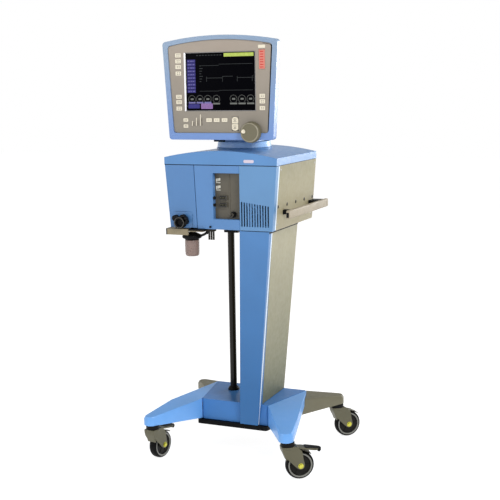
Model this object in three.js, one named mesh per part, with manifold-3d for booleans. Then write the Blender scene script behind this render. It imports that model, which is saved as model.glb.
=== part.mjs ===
// A mechanical ventilator for an intensive care ward: a monitor with a dial and keys, on a tapered
// ventilator case, on a leaning column and a four-legged base with swivel casters.
// Millimetres, +Z up, front towards -Y. The origin is on the floor, under the middle of the base.
// Heights in this file count from a level a little above the floor; the whole is raised at the end.
import * as THREE from "three";
import { ConvexGeometry } from "three/addons/geometries/ConvexGeometry.js";
import { mergeVertices } from "three/addons/utils/BufferGeometryUtils.js";
import Module from "manifold-3d";

const wasm = await Module();
wasm.setup();

// ---------- driving dimensions ----------

const GAP = 0.4; // clearance between pieces that meet
const WALL = 4; // moulded covers
const SHEET = 3; // bent sheet metal
const SEAM = 1.6; // visible joint between front panels

// Ventilator case: vertical front and back, sides that lean out towards the top
const CASE = { front: -200, back: 175, bottom: 786, top: 996, halfBottom: 182, halfTop: 199 };
const FRONT_DEPTH = 30; // how far the front covers reach back
const DOOR_SEAM = { bottom: -84, top: -93 }; // X of the joint between the door and the fascia
const SPINE_LEFT = 69; // X of the joint between the fascia and the right front cover
const LID = { corner: 1020, apex: 1042 };

// Recess with the patient connections
const RECESS = { left: -25, bottom: 820, top: 970, depth: 19 };

// Exhalation port at the lower left of the case
const PORT = { x: -141, z: 806, tube: 15, ring: 21, lobe: 31, reach: 22 };
const NOTCH = { left: -173, right: -101, top: 841 };

// Water trap under the port
const TRAP = { x: -118, y: -172, capRadius: 32, vialRadius: 24, top: 757, bottom: 690 };
const TUBES = { x: [-51, -43, -35], y: -179, radius: 3.2, bottom: 748 };

// Monitor
const SCREEN = { z: 1263, width: 246, height: 184.5 };
const MONITOR = { front: -188, back: -78, split: -164, bottom: 1077, corner: 1391, apex: 1410 };
const MONITOR_HALF = { bottom: 183.5, top: 202 };
const FASCIA_FRONT = -184;
const DIAL = { x: 110, z: 1102, radius: 34, depth: 19, lobe: 27 };
const KEY = { x: 52, z: 1128.5, halfWidth: 10.5, halfHeight: 21.5 };
const SIDE_KEYS = { x: 147, left: [1349, 1330, 1312, 1291, 1216, 1199, 1178], right: [1216, 1199, 1178] };
const LOW_KEYS = { x: [-40, -13, 15], z: 1140.5 };
const TOGGLES = { x: -124, z: [1141, 1121] };
const ALARM = { x: [137, 157], z: [1300, 1360] };
const TURN = { y: 7, radius: 92, seat: 1044, top: 1064 }; // turntable under the monitor
const TILT = { y: -48, z: 1180, radius: 14 };

// Column between the case and the base: it leans back and to the left on its way down
const COLUMN = {
  top: { z: CASE.bottom, left: 67, right: 171, front: CASE.front, back: 62 },
  foot: { z: 97, left: 13, right: 80, front: -100, back: 134 },
};
const COVER_DEPTH = 30; // front cover, front to back
const TUBE = { footX: 47, topX: 124, footY: 20, topY: -76, halfX: 26, halfY: 42 }; // inside the column
const POLE = { x: -76, y: 52, radius: 12 };
const POLE_BRACKET = { x: [-94, -41], halfDepth: 20, height: 44 };

// Base
const BASE = { bottom: 98, top: 170, front: -88, back: 128, frontLeft: -135, frontRight: 112, half: 173 };
const UNDERFRAME = { bottom: 82, front: -100, half: 150 };

// Casters: where each one swivels, and where it trails at rest, in degrees from +X
const CASTERS = [
  { name: "front_left", x: -246, y: -250, trail: 80, braked: true },
  { name: "front_right", x: 246, y: -250, trail: 35, braked: true },
  { name: "rear_right", x: 265, y: 201, trail: 42, braked: false },
  { name: "rear_left", x: -265, y: 201, trail: 149, braked: false },
];
const WHEEL = { radius: 47, axle: 33, halfWidth: 14, trail: 39, bore: 5.4 };
const LIFT = WHEEL.radius - WHEEL.axle; // height of the drawing's zero level above the floor
const LEG_TIP = { bottom: 113, top: 143, radius: 24 };

// ---------- finishes ----------

const finish = (color, roughness, metalness = 0) =>
  new THREE.MeshStandardMaterial({ color, roughness, metalness });
const BLUE = () => finish(0x6c98d4, 0.42);
const BEIGE = () => finish(0xb5ac8c, 0.55);
const TAUPE = () => finish(0xa59d8a, 0.5);
const BLACK = () => finish(0x161618, 0.5);
const STEEL = () => finish(0x8d8f92, 0.35, 1);
const ENAMEL = () => finish(0x24221f, 0.3, 0.6);

// ---------- solid helpers ----------

// A closed geometry as a solid that can be joined and cut.
function solid(geometry) {
  const bare = geometry.clone();
  bare.deleteAttribute("normal");
  bare.deleteAttribute("uv");
  const merged = mergeVertices(bare, 1e-3);
  return new wasm.Manifold(
    new wasm.Mesh({
      numProp: 3,
      vertProperties: merged.attributes.position.array,
      triVerts: new Uint32Array(merged.index.array),
    }),
  );
}

function geometryOf(body) {
  const mesh = body.getMesh();
  const geometry = new THREE.BufferGeometry();
  geometry.setAttribute("position", new THREE.BufferAttribute(mesh.vertProperties, mesh.numProp));
  geometry.setIndex(new THREE.BufferAttribute(mesh.triVerts, 1));
  return geometry;
}

const join = (...bodies) => bodies.reduce((all, body) => all.add(body));
const cut = (body, ...tools) => tools.reduce((left, tool) => left.subtract(tool), body);

// A box from three [low, high] pairs.
function box(x, y, z) {
  const geometry = new THREE.BoxGeometry(x[1] - x[0], y[1] - y[0], z[1] - z[0]);
  return solid(geometry.translate((x[0] + x[1]) / 2, (y[0] + y[1]) / 2, (z[0] + z[1]) / 2));
}

// A round bar along one axis, through the point at; it runs from one coordinate to another.
function rod(axis, at, radius, from, to, sides = 24, endRadius = radius) {
  const geometry = new THREE.CylinderGeometry(endRadius, radius, to - from, sides);
  geometry.translate(0, (from + to) / 2, 0);
  if (axis === "x") geometry.rotateZ(-Math.PI / 2);
  if (axis === "z") geometry.rotateX(Math.PI / 2);
  return solid(geometry.translate(...at));
}

// A shape swept along an axis. Its two coordinates are YZ for axis x, XZ for axis y, XY for axis z.
function sweep(shape, axis, from, to, curveSegments = 3) {
  const geometry = new THREE.ExtrudeGeometry(shape, {
    depth: to - from,
    bevelEnabled: false,
    curveSegments,
  });
  if (axis === "y") {
    geometry.translate(0, 0, -to);
    geometry.rotateX(Math.PI / 2);
    return solid(geometry);
  }
  geometry.translate(0, 0, from);
  if (axis === "x") {
    const turn = new THREE.Matrix4().makeBasis(
      new THREE.Vector3(0, 1, 0),
      new THREE.Vector3(0, 0, 1),
      new THREE.Vector3(1, 0, 0),
    );
    geometry.applyMatrix4(turn);
  }
  return solid(geometry);
}

// A polygon with each corner rounded off by the same distance.
function rounded(points, distance) {
  const corners = points.map(([x, y]) => new THREE.Vector2(x, y));
  const shape = new THREE.Shape();
  corners.forEach((corner, i) => {
    const before = corners[(i + corners.length - 1) % corners.length];
    const after = corners[(i + 1) % corners.length];
    const enter = corner.clone().add(before.clone().sub(corner).setLength(distance));
    const leave = corner.clone().add(after.clone().sub(corner).setLength(distance));
    if (i === 0) shape.moveTo(enter.x, enter.y);
    else shape.lineTo(enter.x, enter.y);
    shape.quadraticCurveTo(corner.x, corner.y, leave.x, leave.y);
  });
  shape.closePath();
  return shape;
}

const polygon = (points) => new THREE.Shape(points.map(([x, y]) => new THREE.Vector2(x, y)));
const rectangle = (x, z) => [
  [x[0], z[0]],
  [x[1], z[0]],
  [x[1], z[1]],
  [x[0], z[1]],
];

const hull = (points) => solid(new ConvexGeometry(points.map((p) => new THREE.Vector3(...p))));

// A profile of [radius, height] pairs, turned about a vertical axis at x, y.
function turned(profile, x, y, sides = 32) {
  const points = profile.map(([radius, height]) => new THREE.Vector2(radius, height));
  const geometry = new THREE.LatheGeometry(points, sides);
  return solid(geometry.rotateX(Math.PI / 2).translate(x, y, 0));
}

const circlePoints = (x, y, radius, count = 16) =>
  Array.from({ length: count }, (_, i) => {
    const angle = (i / count) * 2 * Math.PI;
    return [x + radius * Math.cos(angle), y + radius * Math.sin(angle)];
  });

const between = (from, to, share) => from + (to - from) * share;

// ---------- assembly ----------

const ventilator = new THREE.Group();

function part(name, body, material, parent = ventilator) {
  const mesh = new THREE.Mesh(geometryOf(body), material);
  mesh.name = name;
  parent.add(mesh);
}

// ---------- base and legs ----------

const baseOutline = (inset) => [
  [BASE.frontLeft + inset, BASE.front + inset],
  [BASE.frontRight - inset, BASE.front + inset],
  [BASE.half - inset, BASE.back - inset],
  [-BASE.half + inset, BASE.back - inset],
];

// Half width of the base body at a given Y, on the left (-1) or right (1) side.
function baseEdge(side, y) {
  const front = side < 0 ? BASE.frontLeft : BASE.frontRight;
  return between(front, side * BASE.half, (y - BASE.front) / (BASE.back - BASE.front));
}

// A column section at height z, as X and Y limits, drawn in by the given amount on every side.
function columnSection(z, inset = 0) {
  const share = (z - COLUMN.foot.z) / (COLUMN.top.z - COLUMN.foot.z);
  const at = (key) => between(COLUMN.foot[key], COLUMN.top[key], share);
  return {
    x: [at("left") + inset, at("right") - inset],
    y: [at("front") + inset, at("back") - inset],
  };
}

// The corners of a rectangle at height z.
const level = (x, y, z) => rectangle(x, y).map(([a, b]) => [a, b, z]);

// The slanted steel tube inside the column. It stands on the underframe and carries the case.
function columnTube(inset, from, to) {
  const sections = [from, to].map((z) => {
    const share = (z - COLUMN.foot.z) / (COLUMN.top.z - COLUMN.foot.z);
    const x = between(TUBE.footX, TUBE.topX, share);
    const y = between(TUBE.footY, TUBE.topY, share);
    const half = [TUBE.halfX - inset, TUBE.halfY - inset];
    return level([x - half[0], x + half[0]], [y - half[1], y + half[1]], z);
  });
  return hull(sections.flat());
}

function baseCover() {
  const shell = cut(
    sweep(rounded(baseOutline(0), 8), "z", BASE.bottom, BASE.top),
    sweep(polygon(baseOutline(WALL)), "z", BASE.bottom - 1, BASE.top - WALL),
  );
  return cut(shell, columnTube(-2, BASE.bottom - 5, BASE.top + 20));
}

function baseUnderframe() {
  const low = UNDERFRAME.bottom;
  const high = BASE.bottom - GAP;
  const x = [-UNDERFRAME.half, UNDERFRAME.half - 38];
  const outline = [
    [x[0], UNDERFRAME.front],
    [x[1], UNDERFRAME.front],
    [UNDERFRAME.half, 118],
    [-UNDERFRAME.half, 118],
  ];
  const inner = [
    [x[0] + 5, UNDERFRAME.front + 5],
    [x[1] - 5, UNDERFRAME.front + 5],
    [UNDERFRAME.half - 5, 113],
    [-UNDERFRAME.half + 5, 113],
  ];
  return cut(
    sweep(rounded(outline, 10), "z", low, high),
    sweep(polygon(inner), "z", low + WALL, high + 1),
  );
}

// The flat seat under a leg tip, with a hole for the caster's stud.
const casterSeat = (x, y) =>
  join(
    rod("z", [x, y, 0], LEG_TIP.radius + 0.5, LEG_TIP.bottom - 12, LEG_TIP.bottom, 24),
    rod("z", [x, y, 0], 6.5, LEG_TIP.bottom - 1, LEG_TIP.top - 6, 12),
  );

const raise = (points, z) => points.map(([x, y]) => [x, y, z]);

// Outer form of a front leg: a fan that starts along the whole side of the base cover and narrows to
// its tip. Its outer edge is a thin lip at the back and gets deeper towards the tip.
const SHOULDER = { x: 201, y: 24, z: 165 };
const FLANK = { x: 238, y: -118, z: 163 };
const LIP_BOTTOM = 134;
const FRONT_TIP = { shift: -5, radius: 25 };

function legRoot(side) {
  return [BASE.front, 24, BASE.back - 1].map((y) => [baseEdge(side, y) + side * 1.2, y]);
}

function frontLegForm(side, grow = 0) {
  const { x: reachX, y: tipY } = CASTERS[1];
  const tipX = side * reachX + FRONT_TIP.shift;
  const root = legRoot(side);
  const tip = circlePoints(tipX, tipY, FRONT_TIP.radius);
  return hull([
    ...raise(root.slice(0, 2), BASE.bottom + 1 - grow),
    ...raise(root.slice(2), LIP_BOTTOM - grow),
    ...raise(root, BASE.top - 1 + grow),
    [side * (SHOULDER.x + grow), SHOULDER.y, SHOULDER.z + grow],
    [side * (FLANK.x + grow) - 2, FLANK.y, FLANK.z + grow],
    ...raise(tip, LEG_TIP.bottom),
    ...raise(tip, LEG_TIP.top - 9),
    ...raise(circlePoints(tipX, tipY, FRONT_TIP.radius - 5), LEG_TIP.top),
  ]);
}

// Front legs are hollow underneath.
function frontLeg(side) {
  const { x: reachX, y: tipY } = CASTERS[1];
  const tipX = side * reachX;
  const root = legRoot(side);
  const inner = [
    [root[0][0] - side * 0.1, root[0][1] + 7],
    [root[2][0] - side * 0.1, root[2][1] - 12],
  ];
  const end = [between(root[0][0], tipX, 0.62) - side * 2, between(root[0][1], tipY, 0.62) + 20];
  const hollow = hull([
    ...raise(inner, BASE.bottom - 6),
    ...raise(inner, BASE.top - 8),
    ...raise(circlePoints(...end, 15, 8), BASE.bottom - 6),
    ...raise(circlePoints(...end, 11, 8), 138),
  ]);
  const wallEdge = root.map(([x, y]) => [x - side * 6, y - 5]);
  const rootWall = hull([root, wallEdge].flatMap((line) => [
    ...raise(line, BASE.bottom - 8),
    ...raise(line, BASE.top + 8),
  ]));
  return cut(frontLegForm(side), cut(hollow, rootWall), casterSeat(tipX, tipY));
}

// Rear legs wrap the rear corner of the base cover, behind and under the front legs.
function rearLeg(side) {
  const { x: reachX, y: tipY } = CASTERS[2];
  const tipX = side * reachX;
  const root = [
    [side * 132, 34],
    [side * 132, BASE.back - 6],
    [side * 118, BASE.back + 22],
    [side * (BASE.half - 12), 26],
  ];
  const tip = circlePoints(tipX, tipY, LEG_TIP.radius);
  const outside = hull([
    ...raise(root, 99),
    ...raise(root, 160),
    ...raise(tip, LEG_TIP.bottom),
    ...raise(circlePoints(tipX, tipY, LEG_TIP.radius - 5), LEG_TIP.top),
    ...raise(tip, LEG_TIP.top - 8),
  ]);
  const bodySpace = sweep(polygon(baseOutline(-1)), "z", 60, 200);
  return cut(outside, bodySpace, frontLegForm(side, 1), casterSeat(tipX, tipY));
}

part("base_underframe", baseUnderframe(), BLACK());
part("base_cover", baseCover(), BLUE());
part("front_leg_left", frontLeg(-1), BLUE());
part("front_leg_right", frontLeg(1), BLUE());
part("rear_leg_left", rearLeg(-1), BEIGE());
part("rear_leg_right", rearLeg(1), BEIGE());

// ---------- casters ----------
// Each caster is drawn with its swivel axis at the origin and its wheel trailing towards +X.

// Black cap under the leg, with a stud into the leg and a pin down through the fork.
function casterStem() {
  return join(
    rod("z", [0, 0, 0], 23, 98.6, LEG_TIP.bottom - GAP, 24),
    rod("z", [0, 0, 0], 6, 100, LEG_TIP.top - 8, 12),
    rod("z", [0, 0, 0], 5, 84, 100, 12),
  );
}

function casterFork() {
  const arm = rounded(
    [
      [-21, 98],
      [-14, 76],
      [28, 27],
      [44, 22],
      [52, 36],
      [24, 98],
    ],
    7,
  );
  const cheek = (side) => {
    const inner = side * (WHEEL.halfWidth + 2.5);
    const outer = side * (WHEEL.halfWidth + 6);
    return sweep(arm, "y", Math.min(inner, outer), Math.max(inner, outer));
  };
  const crown = join(
    box([-20, 22], [-18, 18], [85, 98]),
    rod("z", [0, 0, 0], 21.5, 88, 98.2, 24),
  );
  const axle = rod("y", [WHEEL.trail, 0, WHEEL.axle], 5, -24, 24, 12);
  return cut(join(cheek(-1), cheek(1), crown, axle), rod("z", [0, 0, 0], 5.5, 60, 99, 12));
}

// Hub, web and tyre, turned about the axle.
function casterWheel() {
  const half = WHEEL.halfWidth;
  const profile = [
    [WHEEL.bore, -half],
    [13, -half],
    [14, -half + 4],
    [33, -half + 4],
    [34, -half],
    [WHEEL.radius - 4, -half],
    [WHEEL.radius, -half + 5],
    [WHEEL.radius, half - 5],
    [WHEEL.radius - 4, half],
    [34, half],
    [33, half - 4],
    [14, half - 4],
    [13, half],
    [WHEEL.bore, half],
    [WHEEL.bore, -half],
  ];
  const points = profile.map(([radius, height]) => new THREE.Vector2(radius, height));
  const geometry = new THREE.LatheGeometry(points, 28);
  return solid(geometry.translate(WHEEL.trail, 0, WHEEL.axle));
}

// Foot pedal over the wheel. It slopes down to its toe and tips about a cross pin outside the crown.
const PEDAL = { pinX: 28.5, pinZ: 93, slope: 9 };

function brakePedal() {
  const plate = rounded(
    [
      [25, -15.5],
      [36, -15.5],
      [50, -18],
      [112, -9],
      [112, 9],
      [50, 18],
      [36, 15.5],
      [25, 15.5],
    ],
    3,
  );
  const { pinX, pinZ, slope } = PEDAL;
  return join(
    sweep(plate, "z", 91, 96.5),
    box([96, 112], [-9, 9], [86, 92]),
    rod("y", [pinX, 0, pinZ], 4.5, -15.5, 15.5, 12),
  )
    .translate([-pinX, 0, -pinZ])
    .rotate([0, slope, 0])
    .translate([pinX, 0, pinZ]);
}

for (const caster of CASTERS) {
  const place = new THREE.Group();
  place.position.set(caster.x, caster.y, 0);
  place.rotation.z = THREE.MathUtils.degToRad(caster.trail);
  part(`caster_stem_${caster.name}`, casterStem(), BLACK(), place);
  part(`caster_fork_${caster.name}`, casterFork(), TAUPE(), place);
  part(`caster_wheel_${caster.name}`, casterWheel(), BLACK(), place);
  if (caster.braked) part(`brake_pedal_${caster.name}`, brakePedal(), TAUPE(), place);
  ventilator.add(place);
}

// ---------- column ----------

// The column's outer form between two heights, over a part of its depth behind the front face.
function columnForm(inset, depthFrom, depthTo, from, to) {
  const sections = [from, to].map((z) => {
    const { x, y } = columnSection(z);
    const back = depthTo === null ? y[1] : y[0] + depthTo;
    return level([x[0] + inset, x[1] - inset], [y[0] + depthFrom, back], z);
  });
  return hull(sections.flat());
}

function columnFrontCover() {
  const high = COLUMN.top.z - GAP;
  const skin = columnForm(0, 0, COVER_DEPTH, BASE.bottom, high);
  const hollow = columnForm(WALL, WALL, COVER_DEPTH + 5, BASE.top + 8, high + 5);
  const baseSpace = box([-200, 200], [BASE.front - 1, 0], [60, BASE.top + GAP]);
  return cut(skin, hollow, baseSpace);
}

function columnRearShell() {
  const low = BASE.top + GAP;
  const high = COLUMN.top.z - GAP;
  const form = columnForm(0, COVER_DEPTH + GAP, null, low, high);
  const inside = [low - 5, high + 5].map((z) => {
    const { x, y } = columnSection(z);
    return level([x[0] + SHEET, x[1] - SHEET], [y[0], y[1] - SHEET], z);
  });
  return cut(form, hull(inside.flat()));
}

function columnFrame() {
  const low = UNDERFRAME.bottom + WALL + GAP;
  const high = COLUMN.top.z - GAP;
  return cut(columnTube(0, low, high), columnTube(SHEET, low - 5, high + 5));
}

part("column_frame", columnFrame(), STEEL());
part("column_front_cover", columnFrontCover(), BLUE());
part("column_rear_shell", columnRearShell(), BEIGE());

const poleAt = [POLE.x, POLE.y, 0];
const bracketLow = CASE.bottom - POLE_BRACKET.height;
part("support_pole", rod("z", poleAt, POLE.radius, BASE.top + GAP, bracketLow - GAP, 32), ENAMEL());
part(
  "pole_collar",
  cut(
    rod("z", poleAt, 20, BASE.top + GAP, BASE.top + 12, 32, 17),
    rod("z", poleAt, POLE.radius + GAP, BASE.top - 1, BASE.top + 20, 32),
  ),
  BLACK(),
);
part(
  "pole_bracket",
  box(
    POLE_BRACKET.x,
    [POLE.y - POLE_BRACKET.halfDepth, POLE.y + POLE_BRACKET.halfDepth],
    [bracketLow, CASE.bottom - GAP],
  ),
  BLACK(),
);

// ---------- ventilator case ----------

const caseHalf = (z) =>
  between(CASE.halfBottom, CASE.halfTop, (z - CASE.bottom) / (CASE.top - CASE.bottom));
const doorSeam = (z) =>
  between(DOOR_SEAM.bottom, DOOR_SEAM.top, (z - CASE.bottom) / (CASE.top - CASE.bottom));

// The case's section across its depth, between two heights.
const caseOutline = (low, high) => [
  [-caseHalf(low), low],
  [caseHalf(low), low],
  [caseHalf(high), high],
  [-caseHalf(high), high],
];

const frontY = [CASE.front, CASE.front + FRONT_DEPTH];

// The fixed centre of the front, with the recess open to the right cover.
function frontFascia() {
  const left = (z) => doorSeam(z) + SEAM / 2;
  const right = SPINE_LEFT - SEAM / 4;
  const outline = [
    [left(CASE.bottom), CASE.bottom],
    [right, CASE.bottom],
    [right, CASE.top - GAP],
    [left(CASE.top), CASE.top - GAP],
  ];
  const inner = [
    [left(CASE.bottom) + WALL, CASE.bottom + WALL],
    [RECESS.left - WALL, CASE.bottom + WALL],
    [RECESS.left - WALL, CASE.top - WALL],
    [left(CASE.top) + WALL, CASE.top - WALL],
  ];
  const back = CASE.front + RECESS.depth;
  return cut(
    sweep(polygon(outline), "y", ...frontY),
    sweep(polygon(inner), "y", CASE.front + WALL, frontY[1] + 1),
    box([RECESS.left, right + 5], [CASE.front - 1, frontY[1] + 1], [RECESS.bottom, RECESS.top]),
    box(
      [RECESS.left - WALL - 1, right + 5],
      [back, frontY[1] + 1],
      [RECESS.bottom - WALL, RECESS.top + WALL],
    ),
  );
}

// The right front cover, with cooling slots whose tops step down to the right.
const SLOTS = { count: 11, x: [76, 168], halfWidth: 2.4, bottom: 799, top: [879, 867] };

function spineCover() {
  const left = SPINE_LEFT + SEAM / 4;
  const outline = [
    [left, CASE.bottom],
    [caseHalf(CASE.bottom), CASE.bottom],
    [caseHalf(CASE.top), CASE.top - GAP],
    [left, CASE.top - GAP],
  ];
  const inner = [
    [left + WALL, CASE.bottom + WALL],
    [caseHalf(CASE.bottom) - WALL, CASE.bottom + WALL],
    [caseHalf(CASE.top) - WALL, CASE.top - WALL],
    [left + WALL, CASE.top - WALL],
  ];
  const cover = cut(
    sweep(polygon(outline), "y", ...frontY),
    sweep(polygon(inner), "y", CASE.front + WALL, frontY[1] + 1),
  );
  const slots = Array.from({ length: SLOTS.count }, (_, i) => {
    const share = i / (SLOTS.count - 1);
    const x = between(...SLOTS.x, share);
    return box(
      [x - SLOTS.halfWidth, x + SLOTS.halfWidth],
      [CASE.front - 1, CASE.front + 6],
      [SLOTS.bottom, between(...SLOTS.top, share)],
    );
  });
  return cut(cover, ...slots);
}

// The door on the left, a plate with a lip; its lower left is cut round the exhalation port.
function exhalationDoor() {
  const right = (z) => doorSeam(z) - SEAM / 2;
  const outline = [
    [-caseHalf(CASE.bottom + 2), CASE.bottom + 2],
    [right(CASE.bottom), CASE.bottom + 2],
    [right(CASE.top), CASE.top - GAP],
    [-caseHalf(CASE.top), CASE.top - GAP],
  ];
  const plate = sweep(polygon(outline), "y", CASE.front, CASE.front + WALL);
  const lip = sweep(
    polygon([
      [right(880) - 6, 880],
      [right(880) - 2, 880],
      [right(980) - 2, 980],
      [right(980) - 6, 980],
    ]),
    "y",
    CASE.front + 1,
    CASE.front + 12,
  );
  const notch = [
    [NOTCH.left, CASE.bottom - 10],
    [NOTCH.right, CASE.bottom - 10],
    [NOTCH.right, NOTCH.top],
    [NOTCH.left, NOTCH.top],
  ];
  return cut(join(plate, lip), sweep(rounded(notch, 9), "y", CASE.front - 5, CASE.front + 20));
}

// A side panel follows the leaning side of the case and has five small holes in a row.
const SIDE_HOLES = { y: [-164, -83, -2, 80, 161], z: 863, radius: 3.2 };

function sidePanel(side) {
  const low = CASE.bottom + WALL + GAP;
  const high = CASE.top - GAP;
  const outline = [
    [side * caseHalf(low), low],
    [side * (caseHalf(low) - SHEET), low],
    [side * (caseHalf(high) - SHEET), high],
    [side * caseHalf(high), high],
  ];
  const y = [CASE.front + FRONT_DEPTH + GAP, CASE.back - SHEET - GAP];
  const across = side > 0 ? [150, 220] : [-220, -150];
  const holes = SIDE_HOLES.y.map((at) => rod("x", [0, at, SIDE_HOLES.z], SIDE_HOLES.radius, ...across, 12));
  return cut(sweep(polygon(outline), "y", ...y), ...holes);
}

// Inlets at the back: two gas fittings, the power inlet and a row of fan slots.
const GAS_INLETS = [-40, 40];
const GAS_Z = 850;
const POWER = { x: [98, 150], z: [806, 838] };
const FAN = { x: -120, z: 905, half: 40, y: [140, 166] };

function rearPanel() {
  const plate = sweep(
    polygon(caseOutline(CASE.bottom + WALL + GAP, CASE.top - GAP)),
    "y",
    CASE.back - SHEET,
    CASE.back,
  );
  const through = [CASE.back - 10, CASE.back + 10];
  const gas = GAS_INLETS.map((x) => rod("y", [x, 0, GAS_Z], 13, ...through));
  const slots = [-3, -2, -1, 0, 1, 2, 3].map((i) => {
    const half = Math.sqrt(36 ** 2 - (i * 10) ** 2);
    return box([FAN.x - half, FAN.x + half], through, [FAN.z + i * 10 - 2.5, FAN.z + i * 10 + 2.5]);
  });
  return cut(plate, ...gas, ...slots, box(POWER.x, through, POWER.z));
}

// The barrel-topped lid over the case, hollow, with a raised seat for the turntable.
function lidOutline(inset) {
  const half = CASE.halfTop + 1 - inset;
  const rise = LID.apex - LID.corner;
  const radius = (half ** 2 + rise ** 2) / (2 * rise);
  const centre = LID.apex - inset - radius;
  const swing = Math.asin(half / radius);
  const shape = new THREE.Shape();
  shape.moveTo(-half, CASE.top + (inset ? -5 : 0));
  shape.lineTo(half, CASE.top + (inset ? -5 : 0));
  shape.absarc(0, centre, radius, Math.PI / 2 - swing, Math.PI / 2 + swing, false);
  shape.closePath();
  return shape;
}

function topCover() {
  const seat = rod("z", [0, TURN.y, 0], TURN.radius + 2, LID.corner, TURN.seat - GAP, 48);
  const lid = join(sweep(lidOutline(0), "y", CASE.front, CASE.back, 8), seat);
  return cut(
    lid,
    sweep(lidOutline(WALL), "y", CASE.front + WALL, CASE.back - WALL, 8),
    rod("z", [0, TURN.y, 0], 30, CASE.top, TURN.seat + 5, 32),
  );
}

function bottomPan() {
  const half = CASE.halfBottom - GAP;
  const y = [CASE.front + FRONT_DEPTH + GAP, CASE.back];
  const floor = box([-half, half], y, [CASE.bottom, CASE.bottom + WALL]);
  const rail = (x) => box([x - 6, x + 6], [y[0] + 6, y[1] - 12], [CASE.bottom + 2, CASE.bottom + 14]);
  const cable = box([105, 143], [-90, -50], [CASE.bottom - 5, CASE.bottom + 20]);
  return cut(join(floor, rail(-166), rail(166)), cable);
}

// The plate at the bottom of the recess, with two sockets and an outlet nipple.
function connectionPanel() {
  const front = CASE.front + RECESS.depth + GAP;
  const plate = box(
    [RECESS.left - WALL, SPINE_LEFT - GAP / 2],
    [front, front + SHEET],
    [RECESS.bottom - WALL + GAP, RECESS.top + WALL - GAP],
  );
  const socket = (z) => box([-10, 19], [front - 6, front + 1], [z - 7.5, z + 7.5]);
  const rib = box([24, 28], [front - 1.6, front + 1], [RECESS.bottom + 6, RECESS.top - 6]);
  const nipple = join(
    rod("y", [40, 0, 835], 8.5, front - 8, front + 1, 20),
    rod("y", [40, 0, 835], 5, front - 17, front - 7, 20, 4),
  );
  return join(plate, socket(889), socket(866), rib, nipple);
}

part("bottom_pan", bottomPan(), STEEL());
part("front_fascia", frontFascia(), BLUE());
part("spine_cover", spineCover(), BLUE());
part("exhalation_door", exhalationDoor(), BLUE());
part("side_panel_left", sidePanel(-1), BEIGE());
part("side_panel_right", sidePanel(1), BEIGE());
part("rear_panel", rearPanel(), BEIGE());
part("top_cover", topCover(), BLUE());
part("connection_panel", connectionPanel(), TAUPE());

// A handle along the right side: a flat bar held off the panel by two arms.
const HANDLE = { inner: 226, outer: 238, y: [-192, 190], z: [827, 855], arms: [-107, 158], armHalf: 9 };

function sideHandle() {
  const { inner, outer, y, z, armHalf } = HANDLE;
  const bar = rounded(rectangle([inner, outer], y), 5);
  const arms = HANDLE.arms.map((at) =>
    box([caseHalf(z[1]) + GAP, inner + 2], [at - armHalf, at + armHalf], [z[0] + 5, z[1] - 5]),
  );
  return join(sweep(bar, "z", ...z), ...arms);
}

part("handle_right", sideHandle(), BEIGE());

// ---------- inside the case ----------

const floorZ = CASE.bottom + WALL + GAP;

function gasManifold() {
  const block = box([-62, 62], [40, 156], [floorZ, 884]);
  const valve = (x) => rod("z", [x, 78, 0], 15, 880, 916, 24);
  const fitting = (x) =>
    join(
      rod("y", [x, 0, GAS_Z], 12, 150, 190, 24),
      rod("y", [x, 0, GAS_Z], 8, 188, 204, 24),
    );
  return join(block, valve(-36), valve(0), valve(36), ...GAS_INLETS.map(fitting));
}

function mainBoard() {
  const z = 938;
  const chip = (x, y, width, depth, height) =>
    box([x - width / 2, x + width / 2], [y - depth / 2, y + depth / 2], [z, z + height]);
  return join(
    box([-150, 150], [-90, 120], [z - 2, z + 0.5]),
    chip(-60, 20, 46, 46, 7),
    chip(30, 40, 34, 34, 5),
    chip(95, -40, 24, 70, 12),
    chip(-120, -50, 20, 50, 14),
  );
}

function powerSupply() {
  const body = box([78, 158], [-60, 148], [floorZ, 884]);
  const fins = [0, 1, 2, 3, 4].map((i) => {
    const x = 90 + i * 14;
    return box([x - 3, x + 3], [-50, 138], [885, 905]);
  });
  return join(body, box([84, 152], [-54, 142], [883, 888]), ...fins);
}

function fanHousing() {
  const { x, z, half, y } = FAN;
  const frame = box([x - half, x + half], y, [z - half, z + half]);
  const duct = rod("y", [x, 0, z], half - 3, y[0] - 1, y[1] + 1, 36);
  const hub = rod("y", [x, 0, z], 14, y[1] - 4, y[1], 24);
  const spokes = join(
    box([x - half + 2, x + half - 2], [y[1] - 4, y[1]], [z - 2, z + 2]),
    box([x - 2, x + 2], [y[1] - 4, y[1]], [z - half + 2, z + half - 2]),
  );
  return join(cut(frame, duct), hub, spokes);
}

// Seven twisted blades on a hub.
function fanRotor() {
  const { x, z, y } = FAN;
  const blades = Array.from({ length: 7 }, (_, i) => {
    const blade = new THREE.BoxGeometry(23, 2, 17);
    blade.rotateX(0.6).translate(22, y[0] + 11, 0);
    blade.rotateY((i / 7) * 2 * Math.PI);
    return solid(blade.translate(x, 0, z));
  });
  return join(rod("y", [x, 0, z], 13, y[0] + 2, y[1] - 5, 24), ...blades);
}

function powerInlet() {
  const { x, z } = POWER;
  const inside = box([x[0] + GAP, x[1] - GAP], [152, CASE.back + 1], [z[0] + GAP, z[1] - GAP]);
  const flange = box([x[0] - 6, x[1] + 6], [CASE.back + GAP, CASE.back + 3], [z[0] - 4, z[1] + 4]);
  const mouth = box([x[0] + 9, x[1] - 9], [158, CASE.back + 5], [z[0] + 6, z[1] - 6]);
  return cut(join(inside, flange), mouth);
}

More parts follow.
